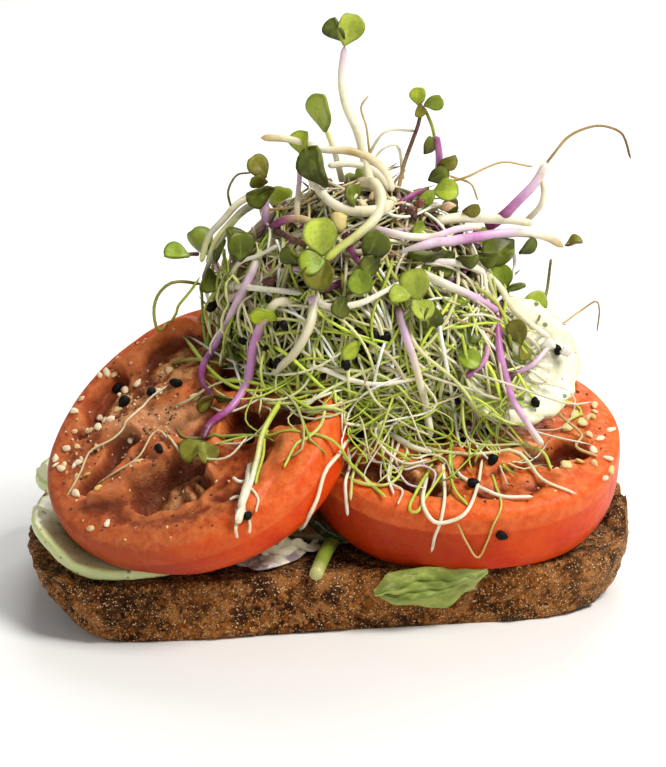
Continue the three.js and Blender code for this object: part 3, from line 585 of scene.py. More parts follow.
def bread_slice(material):
    """The slice: rings up the crust, then inward over the crumb."""
    sides = 520
    top = spline(TOP_OUTLINE, sides, closed=True)
    base = spline(BASE_OUTLINE, sides, closed=True)
    wall = np.array([(0, 1.6), (0.1, 0.2), (0.35, -0.5), (0.65, -0.7), (0.92, 0), (1, 0.7)])
    rings = []
    kind = []
    for share in np.linspace(0, 1, 42):
        p = base + (top - base) * share**0.8
        z = np.full(sides, share * BREAD_THICKNESS)
        place = np.column_stack([p, 30 * share * np.ones(sides)])
        real = np.column_stack([p, z])
        rough = min(1, share / 0.08) * (0.45 * lumps(place, 13) + 0.55 * fractal(real, 5, 3, 3))
        grit = min(1, share / 0.05) * 0.3 * noise(real, 1.3, 9)
        reach = np.linalg.norm(p, axis=1)
        draw = np.interp(share, wall[:, 0], wall[:, 1])
        p = p * ((reach - draw + rough + grit) / reach)[:, None]
        rings.append(np.column_stack([p, z]))
        kind.append(np.zeros(sides))
    rim = rings[-1].copy()
    crease = 0.7 * noise(rim, 3.5, 21) * smooth(54, 62, rim[:, 0])
    rings[-1][:, 2] = BREAD_THICKNESS - 0.3 + crust_lip(rim[:, 0], rim[:, 1]) + crease
    for scale in np.concatenate([np.linspace(0.994, 0.9, 16), np.linspace(0.88, 0.04, 34)]):
        q = rim[:, :2] * scale
        flat = np.column_stack([q, np.zeros(sides)])
        fold = crust_lip(rim[:, 0], rim[:, 1]) * smooth(0.88, 0.98, scale)
        crumb = 0.45 * fractal(flat, 6, 4, 5) - 0.5 * smooth(0.35, 0.8, noise(flat, 2.4, 8))
        edge = smooth(1, 0.95, scale)
        z = BREAD_THICKNESS - 0.45 + fold * (1 + 0.5 * noise(flat, 3, 22)) + edge * crumb
        rings.append(np.column_stack([q, np.minimum(z, BREAD_THICKNESS + fold + 0.1)]))
        kind.append(np.full(sides, edge))
    points, faces = skin_rings(rings, (0, 0, 0), (0, 0, BREAD_THICKNESS - 0.5))
    top = np.concatenate([[0], np.ravel(kind), [1]])
    end = smooth(42, 62, points[:, 0] + 4 * noise(points, 14, 2))
    make_piece("bread_slice_fine", points, faces, material, "bread_slice",
               {"top": top, "end": end})


# ---- tomato halves ----
FACE_SHARE = 0.992  # the cut face's radius as a share of the skin's
FACE_DROP = 2.3  # how far the face rounds down to the skin
BAND_DEPTH = 4.6  # how deep the paler flesh shows through the skin under the rim
FACE_RELIEF = 0.6  # what strands keep over the cut plane, for the relief of the face
WIDEST = 0.2  # the share of the depth where a half is widest


def plan_shape(tomato, angle):
    """The outline's departure from a circle, as a factor."""
    oval = tomato["oval"] * np.cos(2 * (angle - tomato["oval_angle"]))
    return 1 + oval + tomato["lobe"] * np.cos(3 * (angle - tomato["lobe_angle"]))


def skin_share(tomato, depth_share):
    """Share of the full radius at a share of the depth."""
    over = 1 - 0.035 * np.clip(1 - depth_share / WIDEST, 0, 1) ** 2
    t = np.clip((depth_share - WIDEST) / (1 - WIDEST), 0, 1)
    return over * (1 - t ** tomato["fullness"]) ** (1 / tomato["fullness"])


def along_capsule(x, y, start, end, wide_start, wide_end, edge):
    """1 within a rounded strip, falling to 0 over a share of its half width."""
    ax, ay = start
    dx, dy = end[0] - ax, end[1] - ay
    t = np.clip(((x - ax) * dx + (y - ay) * dy) / (dx * dx + dy * dy), 0, 1)
    away = np.hypot(x - ax - t * dx, y - ay - t * dy)
    wide = wide_start + (wide_end - wide_start) * t
    return smooth(wide * (1 + edge / 2), wide * (1 - edge / 2), away)


def cut_face(tomato, share, angle):
    """Height over the cut plane, how much painted shade its hollows take, and how pulpy and raised the flesh
    is.
    """
    r = tomato["radius"] * plan_shape(tomato, angle) * share
    x = r * np.cos(angle)
    y = r * np.sin(angle)
    flat = np.stack([x, y, 0 * x + tomato["radius"]], axis=-1)
    wave_x = x + 2.8 * noise(flat, 9, 31) + 1.3 * noise(flat, 3.6, 33)
    wave_y = y + 2.8 * noise(flat, 9, 32) + 1.3 * noise(flat, 3.6, 34)
    brink = np.clip((share - 0.9) / 0.1, 0, 1)
    height = 0.5 * smooth(0.72, 0.86, share) - FACE_DROP * (1 - np.sqrt(1 - brink**2))
    height = height - 0.5 * (1 - smooth(0.1, 0.3, share))
    hollow_shade = np.zeros_like(height)
    raised = np.zeros_like(height)
    for start, end, wide_start, wide_end, rise, edge in tomato["relief"]:
        inside = along_capsule(wave_x, wave_y, start, end, wide_start, wide_end, edge)
        height = height + rise * inside
        # A hollow takes painted shade by its depth.
        if rise < 0:
            hollow_shade = np.maximum(hollow_shade, inside * min(1, -rise / 5))
        else:
            raised = np.maximum(raised, inside)
    pulp = np.zeros_like(height)
    for start, end, wide in tomato["pulp"]:
        inside = along_capsule(wave_x, wave_y, start, end, wide, wide, 0.7)
        pulp = np.maximum(pulp, inside)
    fan_x, fan_y, fan_reach = tomato["fan"]
    away = np.hypot(wave_x - fan_x, wave_y - fan_y)
    ribs = np.sin(9 * np.arctan2(wave_y - fan_y, wave_x - fan_x)) * smooth(1.1, 0.7, away / fan_reach)
    ribs = ribs * smooth(0.08, 0.4, away / fan_reach)
    height = height + 0.6 * ribs
    raised = np.maximum(raised, 0.8 * smooth(0.55, 0.1, away / fan_reach) + 0.3 * smooth(0, 0.9, ribs))
    inner = 1 - smooth(0.78, 0.9, share)
    fibre = np.sin(26 * angle + 3 * noise(flat, 6, 40)) * smooth(0.25, 0.6, share)
    height = height + 0.55 * fractal(flat, 5, 4, 41) * inner + 0.08 * fibre * inner * (1 - pulp)
    height = height + pulp * (0.6 * noise(flat, 2.6, 42) + 0.12 * noise(flat, 1.2, 43))
    height = height + 0.12 * noise(flat, 4, 44) * (1 - inner)
    return height, hollow_shade, pulp, raised


def sunk(tomato, share, angle):
    """How far the cut face lies below what is around it, in mm."""
    x = share * np.cos(angle)
    y = share * np.sin(angle)
    around = 0
    for reach in (1.3, 2.6):
        for way in np.arange(6) / 6 * TAU + reach:
            step_x = x + reach / tomato["radius"] * math.cos(way)
            step_y = y + reach / tomato["radius"] * math.sin(way)
            around = around + cut_face(tomato, np.hypot(step_x, step_y), np.arctan2(step_y, step_x))[0] / 12
    return (around - cut_face(tomato, share, angle)[0]) * smooth(0.93, 0.85, share)


def tomato_half(name, tomato, material):
    """A half: rings up the skin, then inward over the cut face."""
    sides = 340
    angle = circle(sides)
    rings = []
    keys = ("flesh", "hollow_shade", "pulp", "pale", "side_shade", "dry_and_shade", "rim", "shade", "dirt", "crease", "wedge")
    values = {key: [] for key in keys}
    # Painted shade: brown rises over the side of the left half away from the light; it darkens skin and face
    # there and dims the orange of the rim.
    brown = smooth(0.3, -0.8, np.cos(angle - 0.2)) if name == "tomato_left" else 0 * angle
    # The left face's own drier flesh, with more on the side away from the light as painted shade.
    parched_and_shaded = 0.55 + 0.45 * brown if name == "tomato_left" else 0 * angle
    sunless = smooth(-0.2, -0.9, np.cos(angle - (0.2 if name == "tomato_left" else 0.5)))

    def add(share, depth_share, height, flesh, hollow_shade=0, pulp=0, pale=0, rim=0, dirt=0, crease=0):
        r = tomato["radius"] * plan_shape(tomato, angle) * share
        lean = depth_share * depth_share
        local = np.column_stack([
            r * np.cos(angle) + tomato["skew"][0] * lean,
            r * np.sin(angle) + tomato["skew"][1] * lean,
            height * np.ones(sides),
        ])
        local += (1 - flesh) * 0.16 * fractal(local, 9, 2, 50)[:, None] * unit(local)
        rings.append(in_frame(tomato, local))
        low = 0.7 * smooth(0.45, 1, depth_share)
        start, end, wide = tomato["wedge"]
        wedge = along_capsule(local[:, 0], local[:, 1], start, end, wide, wide, 1.2) * flesh
        found = {
            "flesh": flesh, "hollow_shade": hollow_shade, "pulp": pulp, "pale": pale, "side_shade": brown,
            "dry_and_shade": parched_and_shaded * (1 - 0.6 * rim), "rim": rim * (1 - 0.7 * brown),
            "shade": np.maximum(sunless, low), "dirt": dirt, "crease": crease, "wedge": wedge,
        }
        for key, value in found.items():
            values[key].append(value * np.ones(sides))

    first = FACE_DROP / tomato["depth"]
    for t in np.concatenate([np.linspace(0.985, 0.8, 10), np.linspace(0.77, first + 0.02, 44)]):
        band = smooth(BAND_DEPTH + 0.35, BAND_DEPTH - 0.35, t * tomato["depth"])
        add(skin_share(tomato, t), t, -t * tomato["depth"], 0, rim=0.25 * smooth(0.6, 0.2, t) + 0.7 * band)
    shares = np.concatenate([np.sin(np.linspace(1.5, 0.2, 12)) * 0.1 + 0.9, np.linspace(0.9, 0.02, 78)])
    every_share, every_angle = np.meshgrid(shares, angle, indexing="ij")
    height, hollow_shade, pulp, raised = cut_face(tomato, every_share, every_angle)
    below = sunk(tomato, every_share, every_angle)
    # Paler raised walls, and painted light where the face stands above what is around it.
    light = np.maximum(0.6 * raised, smooth(0.02, 0.3, -below))
    # Painted shade where the face lies below what is around it.
    crease = smooth(0.03, 0.42, below)
    for k, share in enumerate(shares):
        rim = smooth(0.76, 0.92, share)
        add(share * FACE_SHARE, 0, height[k], smooth(1, 0.95, share), hollow_shade[k], pulp[k],
            light[k], rim, 1 - 0.8 * rim, crease[k])
    bottom = in_frame(tomato, np.array([*tomato["skew"], -tomato["depth"]]))
    middle = in_frame(tomato, np.array([0, 0, cut_face(tomato, np.zeros(1), np.zeros(1))[0][0]]))
    points, faces = skin_rings(rings, bottom, middle)
    points[:, 2] = np.maximum(points[:, 2], tomato["floor"])
    make_piece(f"{name}_fine", points, faces, material, name,
               {key: with_ends(rows) for key, rows in values.items()})


def face_point(tomato, angle, share, over=0.0):
    """A point over the cut face, in the frame's axes."""
    angle = np.atleast_1d(np.asarray(angle, float))
    share = np.atleast_1d(np.asarray(share, float))
    height = cut_face(tomato, share, angle)[0]
    r = tomato["radius"] * plan_shape(tomato, angle) * share * FACE_SHARE
    local = np.column_stack([r * np.cos(angle), r * np.sin(angle), height + over])
    return in_frame(tomato, local)


def beside_tomato(tomato, p):
    """Points in a half's own axes with its lean taken off, and the skin's radius at each."""
    q = in_axes(tomato, p)
    t = np.clip(-q[..., 2] / tomato["depth"], 0, 1)
    x = q[..., 0] - tomato["skew"][0] * t * t
    y = q[..., 1] - tomato["skew"][1] * t * t
    radius = tomato["radius"] * plan_shape(tomato, np.arctan2(y, x)) * skin_share(tomato, t)
    return x, y, q[..., 2], t, radius


def rest_on_face(tomato, p, over, only_lift=False, near=4):
    """Brings points near a cut plane onto the cut face itself; only_lift leaves those that lie above it."""
    q = in_axes(tomato, p)
    angle = np.arctan2(q[:, 1], q[:, 0])
    share = np.hypot(q[:, 0], q[:, 1]) / (tomato["radius"] * plan_shape(tomato, angle) * FACE_SHARE)
    height = cut_face(tomato, np.clip(share, 0, 1), angle)[0]
    wanted = np.maximum(q[:, 2], height + over) if only_lift else height + over
    q[:, 2] = np.where((np.abs(q[:, 2]) < near) & (share < 0.97), wanted, q[:, 2])
    return in_frame(tomato, q)


def clear_of_tomato(tomato, p, margin):
    """Moves points out of the way of a tomato half: over its face or off its skin."""
    x, y, z, t, radius = beside_tomato(tomato, p)
    away = np.hypot(x, y)
    rise = margin + FACE_RELIEF - z
    side = radius + margin - away
    near = (rise > 0) & (side > 0) & (z > -tomato["depth"])
    push = near & (side < rise)
    scale = np.where(push, (radius + margin) / np.maximum(away, 1e-6), 1)
    q = np.stack([
        x * scale + tomato["skew"][0] * t * t,
        y * scale + tomato["skew"][1] * t * t,
        np.where(near & ~push, margin + FACE_RELIEF, z),
    ], axis=-1)
    return in_frame(tomato, q)


def in_tomatoes(p, margin=0.0):
    """Whether points lie in a tomato half, or nearer to it than a margin."""
    inside = False
    for tomato in TOMATOES.values():
        x, y, z, _, radius = beside_tomato(tomato, p)
        inside = inside | ((z < margin) & (z > -tomato["depth"]) & (np.hypot(x, y) < radius + margin))
    return inside


# ---- cucumber slices ----
def cucumber_slice(name, material):
    """A slice: rings from under its middle round the edge to the middle of its top."""
    cut = CUCUMBERS[name]
    sides = 168
    angle = circle(sides)
    upright = name == "cucumber_upright"
    bare = 1 - cut["peel"]
    profile = [(0.02, 0.35), (0.5, 0.2), (0.9, 0.18), (0.975, 0.2), (0.992, 0.5), (1, 0.9), (1, 1.5),
               (1, 2.1), (0.994, 2.55), (0.978, 2.86), (0.955, 2.96)]
    profile += [(share, 3 - 0.3 * (1 - share)) for share in np.linspace(0.93, 0.02, 40)]
    rings = []
    shares = []
    peels = []
    seeds = []
    for share, height in profile:
        waver = 1 + 0.012 * np.sin(3 * angle + cut["radius"])
        r = cut["radius"] * waver * share
        flat = np.column_stack([r * np.cos(angle), r * np.sin(angle), np.full(sides, 5.0)])
        rough = 0.25 * fractal(flat, 5, 3, 60 + len(name)) * smooth(1, 0.95, share)
        ragged = (0.9 if upright else 0.25) * noise(flat, 4, 61) * smooth(0.9, 1, share)
        petal = 0.5 + 0.5 * np.cos(3 * angle + 0.7)
        zone = smooth(0.66, 0.5, share + 0.08 * petal) * smooth(0.14, 0.25, share)
        grain = smooth(0.1, 0.5, np.sin(15 * angle + 1.5 * noise(flat, 6, 62)) * np.sin(9 * share + 1))
        seed = zone * grain
        z = height + rough * (height > 1.5) + 0.12 * np.sin(4 * angle) * share + 0.3 * seed * (height > 2)
        z = z - 0.35 * zone * (height > 2)
        if name == "cucumber_left_front":
            z = z + 5.6 * smooth(0.4, 1, share) * smooth(-0.1, 0.9, np.cos(angle - 2.6))
        if name == "cucumber_left_back":
            z = z + 3.6 * smooth(0.4, 1, share) * smooth(0.1, 0.9, np.cos(angle - 3.0))
        frill = smooth(0.84, 1, share) * noise(flat, 2.3, 64)
        z = z + (0.9 if upright else 0.35) * frill * (height > 1.5)
        reach = r - (0.6 if upright else 0.2) * np.abs(ragged) - (1.1 if upright else 0.5) * np.abs(frill)
        local = np.column_stack([reach * np.cos(angle), reach * np.sin(angle), z])
        rings.append(in_frame(cut, local))
        shares.append(np.full(sides, share))
        edge = smooth(0.985, 0.998, share) * smooth(0.4, 0.9, height)
        patchy = smooth(bare - 0.15, bare + 0.15, 0.5 + 0.5 * noise(flat, 5, 63))
        peels.append(edge * patchy)
        seeds.append(seed * (height > 2))
    low, high = in_frame(cut, np.array([(0, 0, 0.3), (0, 0, 2.7)]))
    points, faces = skin_rings(rings, low, high)
    # The upright slice takes flesh painted near white as painted light; the others the greener flesh.
    lying = np.full(len(points), 0.0 if upright else 1.0)
    values = {"share": with_ends(shares), "peel": with_ends(peels), "seeds": with_ends(seeds),
              "lying": lying, "fresh": 1 - lying}
    make_piece(f"{name}_fine", points, faces, material, name, values)


# ---- basil leaf, strip of peel, cream ----
def sheet(surface, steps_u, steps_v, thickness):
    """Points, faces and the u, v of a thin bent sheet with rounded edges."""
    u, v = np.meshgrid(np.linspace(0, 1, steps_u + 1), np.linspace(0, 1, steps_v + 1), indexing="ij")
    p = surface(u, v)
    du = surface(u + 0.005, v) - surface(u - 0.005, v)
    dv = surface(u, v + 0.005) - surface(u, v - 0.005)
    n = unit(np.cross(du, dv))
    edge = np.minimum(np.minimum(u, 1 - u) * 8, np.minimum(v, 1 - v) * 8)
    half = thickness / 2 * (0.3 + 0.7 * np.sqrt(np.clip(edge, 0, 1)))[..., None]
    points = np.vstack([(p + n * half).reshape(-1, 3), (p - n * half).reshape(-1, 3)])
    row = steps_v + 1
    total = row * (steps_u + 1)
    i, j = np.meshgrid(np.arange(steps_u), np.arange(steps_v), indexing="ij")
    a = (i * row + j).ravel()
    over = np.stack([a, a + row, a + row + 1, a + 1], axis=1)
    under = total + np.stack([a, a + 1, a + row + 1, a + row], axis=1)
    loop = np.concatenate([
        np.arange(steps_v),
        np.arange(steps_u) * row + steps_v,
        steps_u * row + np.arange(steps_v, 0, -1),
        np.arange(steps_u, 0, -1) * row,
    ])
    following = np.roll(loop, -1)
    side = np.stack([loop, following, total + following, total + loop], axis=1)
    uv = np.concatenate([u.ravel(), u.ravel()]), np.concatenate([v.ravel(), v.ravel()])
    return points, [over, under, side], uv


def along_line(corners, t):
    """Height along a broken line of (share, height) corners, eased at each."""
    t = np.clip(t, 0, 0.999)
    result = np.zeros_like(t)
    for (a, low), (b, high) in zip(corners, corners[1:]):
        inside = (t >= a) & (t <= b)
        result = np.where(inside, low + (high - low) * smooth(a, b, t), result)
    return result


BASIL_CREASES = [(0.15, 0.5), (0.4, 0.35), (0.72, 0.1)]  # start across the leaf and slant of each


def basil_creases(u, v, width):
    """1 in the creases that run across the leaf."""
    return sum(smooth(width, 0, np.abs(v - start - slant * u)) for start, slant in BASIL_CREASES)


def basil_leaf(material):
    """The leaf over the front crust, between a lower and an upper edge of (share, height)."""
    lower = [(0, 9.6), (0.2, 6.7), (0.62, 5.4), (0.85, 9), (1, 13.2)]
    upper = [(0, 10.6), (0.14, 14.3), (0.4, 15.4), (1, 14.8)]

    def surface(u, v):
        t = np.clip(u, 0, 1)
        z = along_line(lower, t) + (along_line(upper, t) - along_line(lower, t)) * v
        rib = 0.7 * np.abs(v - 0.45) + 0.3 * np.sin(9 * u + 5 * v)
        fold = 0.8 * basil_creases(u, v, 0.1) + 0.45 * np.sin(11 * u - 9 * v) + 0.2 * np.sin(29 * u + 17 * v)
        return np.stack([2.4 + 25.1 * u, -46.6 - 0.8 * np.sin(np.pi * v) + rib - fold, z], axis=-1)

    points, faces, (u, v) = sheet(surface, 130, 50, 0.55)
    from_midrib = v - 0.42 - 0.28 * u
    midrib = smooth(0.035, 0.008, np.abs(from_midrib))
    side = np.abs(from_midrib * 2.2) + u * 3.4
    ribs = smooth(0.09, 0.02, np.abs(side % 0.62 - 0.31)) * 0.6
    # Painted shade in the leaf's creases and folds, and painted light toward both ends.
    wave = 0.5 + 0.5 * np.sin(11 * u - 9 * v + 1)
    shade = np.clip(0.5 * basil_creases(u, v, 0.09) + 0.35 * wave, 0, 1)[:, None]
    tones = linear((178, 190, 92)) * (1 - shade) + linear((84, 110, 26)) * shade
    light = np.clip(smooth(0.55, 0.95, u) + smooth(0.3, 0.1, u) * 0.5, 0, 1)[:, None] * 0.7
    tones = 1.15 * (tones * (1 - light) + linear((184, 192, 116)) * light)
    make_piece("basil_leaf_fine", points, faces, material, "basil_leaf",
               {"vein": np.maximum(midrib, ribs)}, tones)


def peel_strip(material):
    """The dark strip of peel in the gap between the tomatoes."""
    def surface(u, v):
        y = -31.8 - 1.2 * u + 1.4 * np.cos(3 * v)
        x = -9.6 + 5.2 * u + 0.8 * v
        return np.stack([x, y, 21 - 4 * u - 1.3 + 2.8 * v + 0.2 * np.sin(9 * u)], axis=-1)

    points, faces, _ = sheet(surface, 40, 20, 0.8)
    make_piece("peel_strip_fine", points, faces, material, "peel_strip")


def cream_smear(material):
    """The flat smear on the bread, in the gap between the tomatoes."""
    x, y, length, width, turn = -18.5, -35.2, 17, 8, 0.42
    sides = 120
    angle = circle(sides)
    rings = []
    for share in np.concatenate([[1.0], np.linspace(1.0, 0.05, 26)]):
        low = not rings
        wobble = 1 + 0.12 * np.sin(3 * angle + 1) + 0.06 * np.sin(5 * angle)
        a = length / 2 * share * wobble * np.cos(angle)
        b = width / 2 * share * wobble * np.sin(angle)
        px = x + a * math.cos(turn) - b * math.sin(turn)
        py = y + a * math.sin(turn) + b * math.cos(turn)
        flat = np.column_stack([px, py, np.zeros(sides)])
        height = 0.05 if low else 0.05 + 1.0 * (1 - share**4) ** 0.5
        ripple = 0.25 * fractal(flat, 3, 3, 70) * (1 - share**3)
        rings.append(np.column_stack([px, py, BREAD_TOP + height + ripple]))
    points, faces = skin_rings(rings, (x, y, BREAD_TOP), (x, y, BREAD_TOP + 1.05))
    make_piece("cream_smear_fine", points, faces, material, "cream_smear",
               {"pale": np.zeros(len(points))})


def cream_frill(material):
    """The standing edge of the cream, under the left half."""
    def surface(u, v):
        x = -20.5 + 13.5 * u + 0.5 * np.sin(9 * v)
        y = -36.2 + 5.2 * u + 0.9 * np.sin(13 * u + 2 * v) + 1.0 * v
        z = BREAD_TOP + 0.2 + (2.6 + 1.2 * np.sin(5 * u) + 0.5 * np.sin(23 * u)) * v
        return np.stack([x, y, z], axis=-1)

    points, faces, _ = sheet(surface, 70, 12, 0.7)
    make_piece("cream_frill", points, faces, material, "cream_smear",
               {"pale": np.ones(len(points))})


# ---- strands ----
CROWN_PLANE = -6  # y of the upright plane through the heap's crown
SIGHT_STEPS = (580, 720, 0.7)  # from, to and step of the distances tried along a line of sight
CORE = -9  # strands may run this far inside the heap's surface


def tubes(paths, radii, tones, sides, flat=1.0):
    """Points, faces and colours of many strands with equal numbers of points; flat squeezes them."""
    paths = np.asarray(paths, float)
    strands, steps = paths.shape[:2]
    tangent = unit(np.gradient(paths, axis=1))
    normals = []
    normal = np.where(np.abs(tangent[:, 0, 2:]) < 0.8, [[0.0, 0.0, 1.0]], [[1.0, 0.0, 0.0]])
    for s in range(steps):
        t = tangent[:, s]
        normal = unit(normal - (normal * t).sum(1, keepdims=True) * t)
        normals.append(normal)
    normals = np.stack(normals, axis=1)
    binormals = np.cross(tangent, normals)
    angle = circle(sides)
    r = np.asarray(radii)[..., None, None]
    ring = np.cos(angle)[:, None] * normals[:, :, None]
    ring = r * (ring + flat * np.sin(angle)[:, None] * binormals[:, :, None])
    body = (paths[:, :, None] + ring).reshape(strands, -1, 3)
    ends = np.stack([
        paths[:, 0] - 0.5 * radii[:, :1] * tangent[:, 0],
        paths[:, -1] + 0.5 * radii[:, -1:] * tangent[:, -1],
    ], axis=1)
    points = np.concatenate([body, ends], axis=1)
    per = points.shape[1]
    offset = (np.arange(strands) * per)[:, None, None]
    quads = (ring_faces(steps, sides)[None] + offset).reshape(-1, 4)
    i = np.arange(sides)
    j = (i + 1) % sides
    last = (steps - 1) * sides
    low = np.stack([np.full(sides, per - 2), j, i], axis=1)
    high = np.stack([np.full(sides, per - 1), last + i, last + j], axis=1)
    caps = (np.concatenate([low, high])[None] + offset).reshape(-1, 3)
    body_tones = np.repeat(tones[:, :, None], sides, axis=2).reshape(strands, -1, 3)
    end_tones = np.stack([tones[:, 0], tones[:, -1]], axis=1)
    colours = np.concatenate([body_tones, end_tones], axis=1)
    return points.reshape(-1, 3), [quads, caps], colours.reshape(-1, 3)


def fade(names, steps):
    """A run of colours from the first named one to the last."""
    stops = np.array([tone(name) for name in names])
    if len(stops) == 1:
        return np.repeat(stops, steps, axis=0)
    at = np.linspace(0, len(stops) - 1, steps)
    return np.stack([np.interp(at, np.arange(len(stops)), stops[:, k]) for k in range(3)], axis=1)


def level(z):
    """Centre and half widths of the heap at a height."""
    return [np.interp(z, HEAP[:, 0], HEAP[:, k]) for k in (1, 2, 3, 4)]


def heap_share(p):
    """0 on the heap's middle line, 1 on its surface."""
    x, y, rx, ry = level(p[..., 2])
    return np.hypot((p[..., 0] - x) / rx, (p[..., 1] - y) / ry)


def over_heap(p, over):
    """Moves points inside the heap out to its surface and a little over."""
    x, y, rx, ry = level(p[..., 2])
    wide, deep = np.maximum(rx + over, 1.0), np.maximum(ry + over, 1.0)
    scale = np.hypot((p[..., 0] - x) / wide, (p[..., 1] - y) / deep)
    inside = (scale < 1) & (p[..., 2] > HEAP[0, 0]) & (p[..., 2] < HEAP[-1, 0])
    k = np.where(inside, 1 / np.maximum(scale, 1e-6), 1)
    return np.stack([x + (p[..., 0] - x) * k, y + (p[..., 1] - y) * k, p[..., 2]], axis=-1)


def within_slice(p):
    """Whether points lie in the slice of cucumber that stands at the right."""
    upright = CUCUMBERS["cucumber_upright"]
    q = in_axes(upright, p)
    thick = (q[..., 2] > 0) & (q[..., 2] < SLICE_THICKNESS + 0.4)
    return thick & (np.hypot(q[..., 0], q[..., 1]) < upright["radius"])


def sight(pixels):
    """The way of the view through points of the picture, and how far it runs to what carries the sprouts.

    A line of sight that misses it all stops in the plane that holds the heap's crown.
    """
    pixels = np.asarray(pixels, float).reshape(-1, 2)
    across = (pixels[:, :1] - IMAGE_SIZE[0] / 2) / FOCAL_PIXELS
    down = (pixels[:, 1:] - IMAGE_SIZE[1] / 2) / FOCAL_PIXELS
    way = unit(AHEAD + across * ACROSS - down * UPWARD)
    reach = (CROWN_PLANE - EYE[1]) / way[:, 1]
    found = np.zeros(len(pixels), bool)
    for trial in np.arange(*SIGHT_STEPS):
        p = EYE + way * trial
        hit = (heap_share(p) < 1) & (p[:, 2] > HEAP[0, 0]) & (p[:, 2] < HEAP[-1, 0])
        hit = (hit | within_slice(p) | in_tomatoes(p)) & ~found
        reach[hit] = trial
        found = found | hit
    return way, reach


def seen(pixels, over):
    """Places on what carries the sprouts under points of the picture, raised toward the viewer by over."""
    way, reach = sight(pixels)
    return EYE + way * (reach - over)[:, None]


def heap_point(angle, rise, out):
    """A point on the heap's surface moved out; rise runs 0..1 from the bread to the crown."""
    at = np.clip(rise, 0, 1) * (len(HEAP) - 1)
    z, x, y, rx, ry = [np.interp(at, np.arange(len(HEAP)), HEAP[:, k]) for k in range(5)]
    x = x + (rx + out) * np.cos(angle)
    y = y + (ry + out) * np.sin(angle)
    return np.stack([x, y, z + 0.35 * out * rise], axis=-1)


def clear(p, margin, over=None):
    """Keeps points off the heap's middle and both tomato halves; over is the margin for the heap."""
    p = over_heap(np.asarray(p, float), margin if over is None else over)
    for tomato in TOMATOES.values():
        p = clear_of_tomato(tomato, p, margin)
    return p


